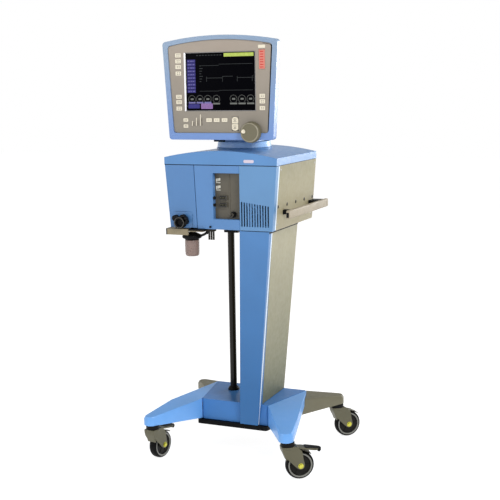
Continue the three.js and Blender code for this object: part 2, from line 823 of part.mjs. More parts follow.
part("gas_manifold", gasManifold(), finish(0xb9bcc0, 0.4, 1));
part("power_supply", powerSupply(), finish(0x9a9da1, 0.5, 1));
part("battery_pack", box([-158, -78], [30, 120], [floorZ, 856]), finish(0x30343a, 0.6));
part("main_board", mainBoard(), finish(0x1f5a38, 0.6));
part("fan_housing", fanHousing(), BLACK());
part("fan_rotor", fanRotor(), BLACK());
part("power_inlet", powerInlet(), BLACK());

// ---------- exhalation side ----------

// The heated valve block behind the door; its port and its face plate show in the door's notch.
function exhalationValve() {
  const { x, z, tube, reach } = PORT;
  const face = rounded(
    rectangle([NOTCH.left + 3.5, NOTCH.right - 4], [CASE.bottom + 1, NOTCH.top - 3]),
    7,
  );
  const body = join(
    sweep(face, "y", CASE.front + 0.5, CASE.front + 9),
    rod("y", [x, 0, z], 14, CASE.front + 8, -148, 32),
    box([x - 16, x + 34], [-150, -70], [floorZ, 872]),
    rod("y", [x, 0, z], tube, CASE.front - reach + 1, CASE.front + 2, 32),
  );
  return cut(body, rod("y", [x, 0, z], tube - 3.5, CASE.front - reach - 1, CASE.front - 2, 32));
}

// A locking ring round the port, with two finger lobes at the top.
function filterLatch() {
  const { x, z, tube, ring, lobe, reach } = PORT;
  const y = [CASE.front - reach, CASE.front - 3];
  const lobes = [-1, 1].map((side) => {
    const angle = THREE.MathUtils.degToRad(90 - side * 42);
    const centre = [x + (lobe - 9) * Math.cos(angle), 0, z + (lobe - 9) * Math.sin(angle)];
    return rod("y", centre, 9, y[0] + 2, y[1], 20);
  });
  return cut(
    join(rod("y", [x, 0, z], ring, ...y, 36), ...lobes),
    rod("y", [x, 0, z], tube + GAP, y[0] - 1, y[1] + 1, 36),
  );
}

// The tray under the case that carries the water trap.
function trapBracket() {
  const top = CASE.bottom - 2;
  const tray = join(
    box([-195, -152], [-210, -60], [top - 20, top]),
    box([-153, -114], [-210, -204], [top - 20, top]),
    box([-153, -62], [-205, -60], [top - 8, top]),
  );
  const socket = rod("z", [TRAP.x, TRAP.y, 0], 8, top - 14, top - 7, 20);
  return join(tray, socket);
}

// The black head of the trap: a flared cap over the vial, with a spout to the right.
function trapCap() {
  const high = CASE.bottom - 17;
  const cap = turned(
    [
      [0, high],
      [TRAP.capRadius - 16, high],
      [TRAP.capRadius, high - 9],
      [TRAP.capRadius, high - 18],
      [TRAP.capRadius - 8, high - 24],
      [0, high - 24],
      [0, high],
    ].reverse(),
    TRAP.x,
    TRAP.y,
    36,
  );
  const spout = hull([
    ...level([TRAP.x + 21, TRAP.x + 26], [TRAP.y - 6, TRAP.y + 6], high - 16),
    ...level([TRAP.x + 21, TRAP.x + 26], [TRAP.y - 6, TRAP.y + 6], high - 8),
    ...level([-66, -60], [TRAP.y - 4, TRAP.y + 4], high - 1),
    ...level([-66, -60], [TRAP.y - 4, TRAP.y + 4], high + 5),
  ]);
  const recess = rod("z", [TRAP.x, TRAP.y, 0], 19.3, high - 25, high - 12, 36);
  return cut(join(cap, spout), recess);
}

// The clear vial: a thin cup with a neck that pushes up into the cap.
function waterTrapVial() {
  const { x, y, vialRadius, top, bottom } = TRAP;
  const rim = CASE.bottom - 17 - 13;
  const wall = 1.6;
  const shoulder = CASE.bottom - 17 - 25;
  return turned(
    [
      [0, bottom],
      [vialRadius - 9, bottom],
      [vialRadius - 3, bottom + 3],
      [vialRadius - 1, bottom + 10],
      [vialRadius, top - 17],
      [vialRadius, shoulder],
      [18.9, shoulder + 0.6],
      [18.9, rim],
      [18.9 - wall, rim],
      [18.9 - wall, shoulder - 2],
      [vialRadius - wall - 1, bottom + 12],
      [vialRadius - wall - 4, bottom + 5],
      [0, bottom + 3],
      [0, bottom],
    ],
    x,
    y,
    36,
  );
}

// Three plain tubes hang under the case, from a common block.
function circuitPorts() {
  const top = CASE.bottom - GAP - 1;
  const { x, y, radius, bottom } = TUBES;
  const block = box([x[0] - 5, x[2] + 5], [y - 11, y + 11], [top - 8, top]);
  const tubes = x.map((at) => rod("z", [at, y, 0], radius, bottom, top - 4, 16));
  return join(block, ...tubes);
}

part("exhalation_valve", exhalationValve(), finish(0x6c98d4, 0.45));
part("filter_latch", filterLatch(), BLACK());
part("trap_bracket", trapBracket(), BEIGE());
part("trap_cap", trapCap(), BLACK());
part("water_trap_vial", waterTrapVial(), finish(0xc8b8b4, 0.2));
part("circuit_ports", circuitPorts(), ENAMEL());

// ---------- monitor ----------

// The front outline of the monitor: sides that lean out, and an arched top.
function monitorOutline(side, bottom, top, arch) {
  const low = MONITOR.bottom + bottom;
  const high = MONITOR.corner - top;
  const apex = MONITOR.apex - arch;
  const halfAt = (z) =>
    between(MONITOR_HALF.bottom, MONITOR_HALF.top, (z - MONITOR.bottom) / (MONITOR.corner - MONITOR.bottom)) -
    side;
  const corner = 11;
  const rise = apex - high;
  const half = halfAt(high);
  const radius = (half ** 2 + rise ** 2) / (2 * rise);
  const swing = Math.asin((half - corner) / radius);
  const shape = new THREE.Shape();
  shape.moveTo(-halfAt(low) + corner, low);
  shape.lineTo(halfAt(low) - corner, low);
  shape.quadraticCurveTo(halfAt(low), low, halfAt(low + corner), low + corner);
  shape.lineTo(halfAt(high - corner), high - corner);
  const arcEnd = apex - radius + radius * Math.cos(swing);
  shape.quadraticCurveTo(half, high, half - corner, arcEnd);
  shape.absarc(0, apex - radius, radius, Math.PI / 2 - swing, Math.PI / 2 + swing, false);
  shape.quadraticCurveTo(-half, high, -halfAt(high - corner), high - corner);
  shape.lineTo(-halfAt(low + corner), low + corner);
  shape.quadraticCurveTo(-halfAt(low), low, -halfAt(low) + corner, low);
  return shape;
}

// The blue rim round the front of the monitor, cut away where the dial overlaps it.
function monitorBezel() {
  return cut(
    sweep(monitorOutline(0, 0, 0, 0), "y", MONITOR.front, MONITOR.split - GAP, 6),
    sweep(monitorOutline(17, 22, 13, 14), "y", MONITOR.front - 1, MONITOR.split + 1, 6),
    rod("y", [DIAL.x, 0, DIAL.z], DIAL.lobe + GAP, MONITOR.front - 1, MONITOR.split + 1, 36),
  );
}

// The sealed keypad overlay inside the rim, with raised key pads and the screen's window.
const keyPad = (x, z, width, height) =>
  sweep(
    rounded(rectangle([x - width / 2, x + width / 2], [z - height / 2, z + height / 2]), 2.5),
    "y",
    FASCIA_FRONT - 1,
    FASCIA_FRONT + 1,
    1,
  );

function monitorFascia() {
  const depth = [FASCIA_FRONT, FASCIA_FRONT + 4];
  const plate = join(
    sweep(monitorOutline(17.5, 22.5, 13.5, 14.5), "y", ...depth, 6),
    rod("y", [DIAL.x, 0, DIAL.z], DIAL.lobe, ...depth, 36),
  );
  const leftKeys = SIDE_KEYS.left.map((z) => keyPad(-SIDE_KEYS.x, z, 20, 13));
  const rightKeys = SIDE_KEYS.right.map((z) => keyPad(SIDE_KEYS.x, z, 18, 13));
  const lowKeys = LOW_KEYS.x.map((x) => keyPad(x, LOW_KEYS.z, 21, 13));
  const toggles = TOGGLES.z.map((z) => keyPad(TOGGLES.x, z, 18, 12));
  const window = box(
    [-SCREEN.width / 2 - 2, SCREEN.width / 2 + 2],
    [FASCIA_FRONT - 2, FASCIA_FRONT + 6],
    [SCREEN.z - SCREEN.height / 2 - 2, SCREEN.z + SCREEN.height / 2 + 2],
  );
  const through = [FASCIA_FRONT - 2, FASCIA_FRONT + 6];
  const keySlot = box(
    [KEY.x - KEY.halfWidth - 0.6, KEY.x + KEY.halfWidth + 0.6],
    through,
    [KEY.z - KEY.halfHeight - 0.6, KEY.z + KEY.halfHeight + 0.6],
  );
  const alarmSlot = box(
    [ALARM.x[0] - 0.6, ALARM.x[1] + 0.6],
    through,
    [ALARM.z[0] - 0.6, ALARM.z[1] + 0.6],
  );
  return cut(
    join(plate, ...leftKeys, ...rightKeys, ...lowKeys, ...toggles),
    window,
    keySlot,
    alarmSlot,
    rod("y", [DIAL.x, 0, DIAL.z], 7, ...through, 24),
  );
}

function displayPanel() {
  const half = [SCREEN.width / 2 + 9, SCREEN.height / 2 + 9];
  return box(
    [-half[0], half[0]],
    [FASCIA_FRONT + 4 + GAP, FASCIA_FRONT + 12],
    [SCREEN.z - half[1], SCREEN.z + half[1]],
  );
}

// The rear housing narrows towards the back and carries two ears for the tilt pin.
function monitorRearHousing() {
  const frontShell = sweep(monitorOutline(0.5, 0.5, 0.5, 0.5), "y", MONITOR.split, MONITOR.split + 4, 6);
  const ring = (y, inset) => [
    [-198 + inset * 1.1, y, 1386 - inset],
    [198 - inset * 1.1, y, 1386 - inset],
    [180 - inset * 0.9, y, 1082 + inset * 0.5],
    [-180 + inset * 0.9, y, 1082 + inset * 0.5],
    [-100, y, 1400 - inset],
    [100, y, 1400 - inset],
  ];
  const outside = hull([...ring(MONITOR.split + 3, 3), ...ring(MONITOR.back, 52)]);
  const inside = hull([...ring(MONITOR.split - 1, 9), ...ring(MONITOR.back - WALL, 56)]);
  const ear = (side) => {
    const x = side > 0 ? [46, 56] : [-56, -46];
    const outline = rounded(
      [
        [MONITOR.back - 2, TILT.z - 28],
        [TILT.y + 10, TILT.z - 15],
        [TILT.y + 15, TILT.z],
        [TILT.y + 10, TILT.z + 15],
        [MONITOR.back - 2, TILT.z + 28],
      ],
      5,
    );
    return sweep(outline, "x", ...x);
  };
  const pinHole = rod("x", [0, TILT.y, TILT.z], 5.4, -70, 70, 20);
  return cut(join(frontShell, outside, ear(-1), ear(1)), inside, pinHole);
}

// The casting that stands on the turntable and ends in a barrel with the tilt pin.
function tiltYoke() {
  const stem = hull([
    ...level([-34, 34], [-30, 38], TURN.top + GAP),
    ...level([-30, 30], [-30, 26], 1110),
    ...level([-40, 40], [-44, -20], TILT.z - 10),
    ...level([-40, 40], [-42, -22], TILT.z + 4),
  ]);
  const flange = box([-44, 44], [-36, 46], [TURN.top + GAP, TURN.top + 7]);
  const barrel = rod("x", [0, TILT.y, TILT.z], TILT.radius, -45, 45, 32);
  const pin = rod("x", [0, TILT.y, TILT.z], 5, -58, 58, 20);
  return join(stem, flange, barrel, pin);
}

function swivelCollar() {
  return join(
    rod("z", [0, TURN.y, 0], TURN.radius, TURN.seat, TURN.top, 48, TURN.radius - 3),
    rod("z", [0, TURN.y, 0], 29, TURN.seat - 12, TURN.seat + 2, 32),
  );
}

function dataDial() {
  const { x, z, radius, depth } = DIAL;
  const back = MONITOR.front - 0.6;
  const front = back - depth;
  const body = join(
    rod("y", [x, 0, z], radius, front + 3, back, 40),
    rod("y", [x, 0, z], radius - 3, front, front + 3.5, 40, radius),
    rod("y", [x, 0, z], 6.4, back - 1, FASCIA_FRONT + 16, 16),
  );
  const dimple = new THREE.SphereGeometry(14, 16, 10).translate(x - radius * 0.62, front - 9, z + 3);
  return cut(body, solid(dimple));
}

// One half of the split key beside the dial; each half is pressed on its own.
function pressKey(side) {
  const { x, z, halfWidth, halfHeight } = KEY;
  const near = z + side * 0.7;
  const far = z + side * halfHeight;
  const key = new THREE.Shape();
  key.moveTo(x - halfWidth, near);
  key.lineTo(x - halfWidth, far - side * 8);
  key.quadraticCurveTo(x - halfWidth, far, x - halfWidth + 8, far);
  key.lineTo(x + halfWidth - 8, far);
  key.quadraticCurveTo(x + halfWidth, far, x + halfWidth, far - side * 8);
  key.lineTo(x + halfWidth, near);
  return sweep(key, "y", FASCIA_FRONT - 3, FASCIA_FRONT + 5);
}

part("swivel_collar", swivelCollar(), BLUE());
part("tilt_yoke", tiltYoke(), BLACK());
part("monitor_rear_housing", monitorRearHousing(), BLUE());
part("monitor_bezel", monitorBezel(), BLUE());
part("monitor_fascia", monitorFascia(), TAUPE());
part("display_panel", displayPanel(), finish(0x05060c, 0.15));
part(
  "alarm_light",
  box(ALARM.x, [FASCIA_FRONT - 1.5, FASCIA_FRONT + 6], ALARM.z),
  finish(0xe0564c, 0.4),
);
part("accept_key", pressKey(1), finish(0xe9e4d6, 0.5));
part("cancel_key", pressKey(-1), finish(0xe9e4d6, 0.5));
part("data_dial", dataDial(), TAUPE());

ventilator.position.z = LIFT;
export default new THREE.Group().add(ventilator);
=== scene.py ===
"""The looks of the mechanical ventilator: fine surfaces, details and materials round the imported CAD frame."""

import math

import bmesh
import bpy
from mathutils import Matrix, Vector


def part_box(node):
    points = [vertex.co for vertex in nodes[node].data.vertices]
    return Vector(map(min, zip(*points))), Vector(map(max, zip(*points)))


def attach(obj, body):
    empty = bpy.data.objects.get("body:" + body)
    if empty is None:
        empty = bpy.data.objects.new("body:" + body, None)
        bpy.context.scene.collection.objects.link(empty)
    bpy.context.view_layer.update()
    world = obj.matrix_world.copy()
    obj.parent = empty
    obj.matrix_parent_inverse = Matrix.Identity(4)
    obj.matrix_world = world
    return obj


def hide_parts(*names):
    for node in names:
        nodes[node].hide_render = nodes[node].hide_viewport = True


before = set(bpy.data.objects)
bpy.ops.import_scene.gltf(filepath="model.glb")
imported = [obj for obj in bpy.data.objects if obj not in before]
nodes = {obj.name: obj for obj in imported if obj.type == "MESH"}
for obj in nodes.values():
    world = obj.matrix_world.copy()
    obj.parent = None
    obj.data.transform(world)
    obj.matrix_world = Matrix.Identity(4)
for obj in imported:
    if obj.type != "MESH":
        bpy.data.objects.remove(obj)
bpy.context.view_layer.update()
MM = 0.001
UNDERFRAME_LOW = 82
# How far above the floor the level lies from which all heights below count
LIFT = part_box("base_underframe")[0].z / MM - UNDERFRAME_LOW

# Places that the frame's boxes don't give, in millimetres
ARCH_RISE = 19  # of the monitor's top edge
TILT_PIN = Vector((0, -48, 1180))
KEY_ROWS = [86, 67, 49, 28, -47, -64, -85]  # left keys, from the screen's middle height
LOW_KEYS = {"x": (-40, -13, 15), "drop": 122.5}
TOGGLES = {"x": -124, "drops": (122, 142)}
KEY_SYMBOLS_FOOT = 1122  # three strips beside the low keys
MONITOR_VENT_LOW = 1236
MONITOR_SCREWS = {"x": (-108, 108), "z": (1150, 1340)}
MONITOR_PLATE = ((-60, 60), (1180, 1216))
SIDE_HOLES = {"y": (-164, -83, -2, 80, 161), "z": 863, "radius": 6}
SOCKET_ROWS = (889, 866)
SIGN_ROWS = (946, 922)
RECESS_LINES = (905, 850)
OUTLET = (40, 0, 835)
NOTCH_X = (-173, -101)
NOTCH_TOP = 841
HANDLE_ARMS = ((-107, 10, 7, 8), (154, 28, 12.6, 8))  # y, half length, rise and drop of each
HANDLE_GROOVES = (-58, 82, 172)
PORT_Z = 806
PORT_TUBE = 15.4  # bore of the locking ring round the port
DRAIN_KNOB = (-35, 0, 794)
GAS_X = (-40, 40)
GAS_Z = 850
REAR_PLATES = (((44, 150), (900, 950), 3), ((-62, 62), (876, 884), 2))  # x, z and corner of each
FORK_TOP = 98
PEDAL_PIN = Vector((28.5, 0, 93))
PEDAL_SLOPE = 9


# ---------- camera, light and floor ----------

def aim(obj, direction, roll=0.0):
    """Turns a camera or light so that it looks along a direction."""
    turn = Vector(direction).to_track_quat("-Z", "Y").to_matrix().to_4x4()
    obj.matrix_world = Matrix.Translation(obj.location) @ turn @ Matrix.Rotation(roll, 4, "Z")


def make_camera():
    yaw = math.radians(23.13)
    pitch = math.radians(8.98)
    roll = math.radians(-0.88)
    data = bpy.data.cameras.new("camera")
    data.sensor_width = 36
    data.lens = 74.92
    data.dof.use_dof = False
    camera = bpy.data.objects.new("camera", data)
    camera.location = (1.4085, -3.2556, 1.2489 + LIFT * MM)
    bpy.context.scene.collection.objects.link(camera)
    forward = (-math.sin(yaw) * math.cos(pitch), math.cos(yaw) * math.cos(pitch), -math.sin(pitch))
    aim(camera, forward, roll)
    bpy.context.scene.camera = camera


def soft_light(name, place, target, size, power, color=(1, 1, 1)):
    data = bpy.data.lights.new(name, "AREA")
    data.shape = "DISK"
    data.size = size
    data.energy = power
    data.color = color
    light = bpy.data.objects.new(name, data)
    light.location = place
    bpy.context.scene.collection.objects.link(light)
    aim(light, Vector(target) - Vector(place))


def make_world():
    """White round the horizon and dimmer overhead: a plain backdrop, and a top light with shape."""
    world = bpy.data.worlds.new("studio")
    world.use_nodes = True
    tree = world.node_tree
    background = tree.nodes["Background"]
    background.inputs["Color"].default_value = (1, 1, 1, 1)
    place = tree.nodes.new("ShaderNodeTexCoord")
    parts = tree.nodes.new("ShaderNodeSeparateXYZ")
    fade = tree.nodes.new("ShaderNodeMapRange")
    fade.inputs["From Min"].default_value = 0.12
    fade.inputs["From Max"].default_value = 0.4
    fade.inputs["To Min"].default_value = 1.0
    fade.inputs["To Max"].default_value = 0.35
    tree.links.new(place.outputs["Generated"], parts.inputs["Vector"])
    tree.links.new(parts.outputs["Z"], fade.inputs["Value"])
    tree.links.new(fade.outputs["Result"], background.inputs["Strength"])
    bpy.context.scene.world = world
    bpy.context.scene.view_settings.view_transform = "Standard"


def make_studio():
    make_world()
    high = (0, -0.1, 1.1)
    soft_light("key_right", (1.9, -1.5, 2.5), high, 1.0, 46)
    soft_light("fill_left", (-2.0, -2.6, 1.9), high, 1.6, 20)
    soft_light("rim_right", (1.9, 3.4, 1.5), (0.1, 0, 0.9), 1.8, 60)
    soft_light("top", (-0.2, 0.5, 3.0), high, 1.4, 9)
    mesh = bpy.data.meshes.new("floor")
    far = 14
    mesh.from_pydata([(-far, -far, 0), (far, -far, 0), (far, far, 0), (-far, far, 0)], [], [(0, 1, 2, 3)])
    floor = bpy.data.objects.new("floor", mesh)
    bpy.context.scene.collection.objects.link(floor)
    material, shader, _ = new_material("floor_paper")
    shader.inputs["Base Color"].default_value = (0.4, 0.4, 0.4, 1)
    shader.inputs["Roughness"].default_value = 0.9
    shader.inputs["Specular IOR Level"].default_value = 0.1
    shader.inputs["Emission Color"].default_value = (1, 1, 1, 1)
    shader.inputs["Emission Strength"].default_value = 0.86
    mesh.materials.append(material)


# ---------- materials ----------

def new_material(name):
    material = bpy.data.materials.new(name)
    material.use_nodes = True
    tree = material.node_tree
    return material, tree.nodes["Principled BSDF"], tree


def noise(tree, scale, detail=3.0, stretch=None):
    """A noise texture in the object's own frame; stretch squeezes it along the axes."""
    place = tree.nodes.new("ShaderNodeTexCoord")
    texture = tree.nodes.new("ShaderNodeTexNoise")
    texture.inputs["Scale"].default_value = scale
    texture.inputs["Detail"].default_value = detail
    source = place.outputs["Object"]
    if stretch:
        mapping = tree.nodes.new("ShaderNodeMapping")
        mapping.inputs["Scale"].default_value = stretch
        tree.links.new(source, mapping.inputs["Vector"])
        source = mapping.outputs["Vector"]
    tree.links.new(source, texture.inputs["Vector"])
    return texture.outputs["Fac"]


def spread(tree, value, low, high):
    """Maps the middle of a noise to a range."""
    node = tree.nodes.new("ShaderNodeMapRange")
    node.inputs["From Min"].default_value = 0.3
    node.inputs["From Max"].default_value = 0.7
    node.inputs["To Min"].default_value = low
    node.inputs["To Max"].default_value = high
    tree.links.new(value, node.inputs["Value"])
    return node.outputs["Result"]


def tint(tree, value, dark, light):
    ramp = tree.nodes.new("ShaderNodeValToRGB")
    ramp.color_ramp.elements[0].position = 0.3
    ramp.color_ramp.elements[0].color = (*dark, 1)
    ramp.color_ramp.elements[1].position = 0.7
    ramp.color_ramp.elements[1].color = (*light, 1)
    tree.links.new(value, ramp.inputs["Fac"])
    return ramp.outputs["Color"]


def linear(red, green, blue):
    """An 8-bit display colour as the scene's linear colour."""
    def one(value):
        share = value / 255
        return share / 12.92 if share <= 0.04045 else ((share + 0.055) / 1.055) ** 2.4
    return one(red), one(green), one(blue)


def shade(color, factor):
    return tuple(min(1.0, part * factor) for part in color)


def paint_light_by_height(tree, below, above, span):
    """Blends from one colour up to another between two heights of the object's own frame: painted light and
    shade by height.
    """
    place = tree.nodes.new("ShaderNodeTexCoord")
    parts = tree.nodes.new("ShaderNodeSeparateXYZ")
    share = tree.nodes.new("ShaderNodeMapRange")
    share.inputs["From Min"].default_value = span[0]
    share.inputs["From Max"].default_value = span[1]
    mix = tree.nodes.new("ShaderNodeMix")
    mix.data_type = "RGBA"
    tree.links.new(place.outputs["Object"], parts.inputs["Vector"])
    tree.links.new(parts.outputs["Z"], share.inputs["Value"])
    tree.links.new(share.outputs["Result"], mix.inputs[0])
    tree.links.new(below, mix.inputs[6])
    tree.links.new(above, mix.inputs[7])
    return mix.outputs[2]


def surface(name, color, roughness, variation=0.06, grain=900, depth=0.25, mottle=7, metallic=0.0, coat=0.0,
            stretch=None, distance=0.00025, shine=0.5, low=None, span=(0, 1)):
    """A moulded, painted or metal surface: slow colour change, fine grain in bump and in roughness.

    Colours are 8-bit. Where low is given, the colour blends from low up to color over the heights in span,
    in metres: painted light and shade by height.
    """
    material, shader, tree = new_material(name)
    patches = noise(tree, mottle, 4)

    def mottled(tone):
        return tint(tree, patches, shade(linear(*tone), 1 - variation), shade(linear(*tone), 1 + variation))
    tone = mottled(color)
    # Painted light and shade: the colour changes with height where the light falls off.
    if low:
        tone = paint_light_by_height(tree, mottled(low), tone, span)
    tree.links.new(tone, shader.inputs["Base Color"])
    rough = spread(tree, noise(tree, mottle * 9, 5), roughness * 0.85, min(1, roughness * 1.18))
    tree.links.new(rough, shader.inputs["Roughness"])
    bump = tree.nodes.new("ShaderNodeBump")
    bump.inputs["Strength"].default_value = depth
    bump.inputs["Distance"].default_value = distance
    tree.links.new(noise(tree, grain, 2, stretch), bump.inputs["Height"])
    tree.links.new(bump.outputs["Normal"], shader.inputs["Normal"])
    shader.inputs["Metallic"].default_value = metallic
    shader.inputs["Coat Weight"].default_value = coat
    shader.inputs["Coat Roughness"].default_value = 0.2
    shader.inputs["Specular IOR Level"].default_value = shine
    return material


def glowing(name, color, strength, base=(0.01, 0.01, 0.015)):
    """A lit area of the screen: emission with a faint pixel grain."""
    material, shader, tree = new_material(name)
    shader.inputs["Base Color"].default_value = (*base, 1)
    shader.inputs["Roughness"].default_value = 0.3
    shader.inputs["Specular IOR Level"].default_value = 0.06
    tone = tint(tree, noise(tree, 260, 1), shade(color, 0.86), shade(color, 1.1))
    tree.links.new(tone, shader.inputs["Emission Color"])
    shader.inputs["Emission Strength"].default_value = strength
    return material


def clear_plastic(name, color, roughness):
    material = surface(name, color, roughness, variation=0.05, grain=240, depth=0.03, mottle=30)
    shader = material.node_tree.nodes["Principled BSDF"]
    shader.inputs["Transmission Weight"].default_value = 0.5
    shader.inputs["IOR"].default_value = 1.45
    shader.inputs["Alpha"].default_value = 0.88
    return material


def blue_shell(name, color, **more):
    return surface(name, color, 0.34, variation=0.05, coat=0.15, **more)


def beige_paint(name, color, **more):
    return surface(name, color, 0.5, grain=620, depth=0.35, **more)


materials = {
    # The blues are one blue paint and the beiges one beige paint; each copy is tuned to how much light its part
    # gets: painted light and painted shade.
    "blue": blue_shell("blue_shell", (78, 124, 177)),
    "blue_spine": blue_shell("blue_spine", (88, 133, 178)),
    "blue_door": blue_shell("blue_door", (73, 119, 171)),
    "blue_lid": blue_shell("blue_lid", (88, 132, 182), shine=0.2),
    # Darker towards the floor: painted shade by height.
    "blue_column": blue_shell("blue_column", (71, 120, 174), low=(34, 98, 156), span=(0.2, 0.8),
                              shine=0.35),
    "blue_base": blue_shell("blue_base", (68, 122, 186), shine=0.1),
    # Paler than the other blues: painted light on the front legs.
    "blue_leg": blue_shell("blue_leg", (104, 164, 231)),
    # Much paler than the other blues: painted light on the collar.
    "blue_collar_painted_light": blue_shell("blue_collar_painted_light", (150, 190, 235)),
    # Greyer and paler towards the top: painted highlight on the rim by height.
    "rim": surface("rim_blue", (121, 143, 169), 0.34, variation=0.04, coat=0.15,
                   low=(100, 132, 188), span=(1.1, 1.35)),
    # Paler low on the panels and darker towards the lid: painted light and shade by height.
    "beige": beige_paint("beige_panel", (128, 122, 89), low=(162, 153, 122), span=(0.8, 1.0)),
    # Darker towards the floor: painted shade by height.
    "beige_column": beige_paint("beige_column", (152, 147, 122), low=(96, 98, 70), span=(0.2, 0.75)),
    # Darker than the panels' beige: painted shade on the rear legs.
    "beige_leg": beige_paint("beige_leg", (106, 102, 81)),
    "handle": surface("handle_plastic", (149, 138, 117), 0.5, grain=700),
    # Darker towards the bottom of the monitor: painted shade by height.
    "taupe": surface("taupe_overlay", (149, 138, 126), 0.48, variation=0.05, grain=1100, depth=0.2,
                     low=(126, 120, 109), span=(1.1, 1.4)),
    "taupe_deep": surface("taupe_panel", (84, 79, 67), 0.5, grain=900),
    "knob": surface("dial_plastic", (96, 91, 70), 0.42, grain=900, coat=0.1),
    "knob_rim": surface("dial_rim", (132, 126, 108), 0.35, grain=900),
    "black": surface("black_plastic", (12, 12, 13), 0.45, variation=0.2, grain=800, depth=0.35,
                     shine=0.12),
    "rubber": surface("tyre_rubber", (9, 9, 9), 0.6, variation=0.25, grain=500, depth=0.5, shine=0.1),
    "hub": surface("hub_plastic", (22, 21, 18), 0.5, variation=0.15, grain=600, shine=0.15),
    "grey_ring": surface("rim_grey", (120, 120, 114), 0.42, grain=600),
    "fork": surface("fork_zinc", (92, 89, 70), 0.42, variation=0.1, grain=500, depth=0.3, metallic=0.3),
    "brass": surface("axle_brass", (200, 196, 78), 0.22, variation=0.1, grain=700, metallic=0.7),
    # Grey of the ring round the port: painted reflection.
    "latch_reflection_grey": surface("latch_reflection_grey", (96, 94, 88), 0.42, grain=600),
    "pole": surface("pole_enamel", (26, 20, 12), 0.18, variation=0.1, grain=90, depth=0.06, coat=0.12,
                    shine=0.2),
    "steel": surface("brushed_steel", (150, 152, 155), 0.3, grain=300, metallic=1.0,
                     stretch=(1, 1, 0.04)),
    "alloy": surface("cast_alloy", (150, 152, 154), 0.45, grain=350, depth=0.5, metallic=0.9),
    "cream": surface("key_cream", (214, 206, 186), 0.5, variation=0.04, grain=1000),
    "ink": surface("key_ink", (84, 78, 72), 0.6, variation=0.1, grain=1000, shine=0.2),
    # White of the window's left reveal: painted highlight.
    "reveal_highlight_white": surface("window_reveal_highlight", (236, 236, 238), 0.4, variation=0.03, grain=800),
    "frame_grey": surface("window_frame", (118, 116, 116), 0.4, variation=0.05, grain=800),
    # Pale strip colour: painted highlight on the covers' right edges.
    "edge_highlight_white": surface("edge_highlight_white", (214, 226, 236), 0.4, variation=0.03, grain=900),
    "badge": surface("lid_badge", (196, 186, 200), 0.4, variation=0.04, grain=900),
    "groove": surface("handle_groove", (96, 88, 72), 0.6, variation=0.1, grain=800),
    "taupe_dark": surface("socket_taupe", (44, 42, 38), 0.45, grain=900),
    "brass_dull": surface("socket_pin", (120, 116, 96), 0.35, grain=900, metallic=0.7),
    "vial_band": surface("vial_band", (150, 136, 132), 0.4, grain=600),
    "label": surface("label_white", (214, 211, 196), 0.5, variation=0.05, grain=900),
    "board": surface("board_green", (31, 90, 56), 0.5, grain=400),
    "pack": surface("battery_grey", (60, 64, 70), 0.55, grain=600),
    "tray": surface("tray_cream", (133, 122, 97), 0.5, grain=700),
    "screen": surface("screen_glass", (2, 2, 5), 0.2, variation=0.1, grain=60, depth=0.02, shine=0.02),
    "vial": clear_plastic("clear_vial", (165, 142, 134), 0.3),
    "red": glowing("alarm_red", linear(206, 128, 118), 0.15, linear(190, 118, 106)),
    "red_deep": glowing("alarm_red_deep", linear(190, 60, 54), 0.35, linear(160, 40, 38)),
    "lime": glowing("lit_lime", linear(188, 206, 96), 1.0),
    "indigo": glowing("lit_indigo", linear(56, 52, 124), 1.0),
    "violet": glowing("lit_violet", linear(142, 110, 164), 1.0),
    "trace": glowing("lit_trace", linear(52, 56, 52), 1.0),
    "gauge": glowing("lit_gauge", linear(112, 114, 108), 1.0),
    "pale_text": glowing("lit_pale", linear(120, 116, 170), 1.0),
}


# ---------- mesh helpers: drawn in millimetres ----------

def piece(name, mesh, body, material, replaces=(), edge=0.0, place=None):
    """Adds a mesh, or a list of them as one, drawn in millimetres, as a piece that rides on a CAD body."""
    if isinstance(mesh, list):
        mesh = merged(mesh)
    if place is not None:
        mesh.transform(place)
    mesh.transform(Matrix.Scale(MM, 4) @ Matrix.Translation((0, 0, LIFT)))
    mesh.name = name
    obj = bpy.data.objects.new(name, mesh)
    bpy.context.scene.collection.objects.link(obj)
    mesh.materials.clear()
    mesh.materials.append(materials[material])
    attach(obj, body)
    if replaces:
        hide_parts(*replaces)
    if edge:
        soften(obj, edge * MM)
    return obj


def smooth(mesh, angle=35):
    mesh.polygons.foreach_set("use_smooth", [True] * len(mesh.polygons))
    mesh.set_sharp_from_angle(angle=math.radians(angle))


def soften(obj, width, angle=32):
    """Rounds the object's hard edges."""
    bevel = obj.modifiers.new("edges", "BEVEL")
    bevel.width = width
    bevel.segments = 3
    bevel.limit_method = "ANGLE"
    bevel.angle_limit = math.radians(angle)
    bevel.use_clamp_overlap = True
    bevel.harden_normals = True


def mesh_from(name, points, faces, angle=35):
    mesh = bpy.data.meshes.new(name)
    mesh.from_pydata([tuple(p) for p in points], [], faces)
    shape = bmesh.new()
    shape.from_mesh(mesh)
    bmesh.ops.remove_doubles(shape, verts=shape.verts, dist=1e-4)
    bmesh.ops.recalc_face_normals(shape, faces=shape.faces)
    shape.to_mesh(mesh)
    shape.free()
    smooth(mesh, angle)
    return mesh


def fillet(points, radius, steps=5):
    """A closed polygon with its corners rounded; radius is one number, or one per corner."""
    count = len(points)
    radii = radius if hasattr(radius, "__len__") else [radius] * count
    out = []
    for i, corner in enumerate(points):
        corner = Vector(corner)
        if radii[i] == 0:
            out.append(corner)
            continue
        before = Vector(points[i - 1]) - corner
        after = Vector(points[(i + 1) % count]) - corner
        start = corner + before.normalized() * min(radii[i], before.length * 0.49)
        end = corner + after.normalized() * min(radii[i], after.length * 0.49)
        for step in range(steps + 1):
            t = step / steps
            out.append(start * (1 - t) ** 2 + corner * 2 * t * (1 - t) + end * t ** 2)
    return out


def about(middle, reach):
    """A range that reaches as far to each side of its middle."""
    return middle - reach, middle + reach


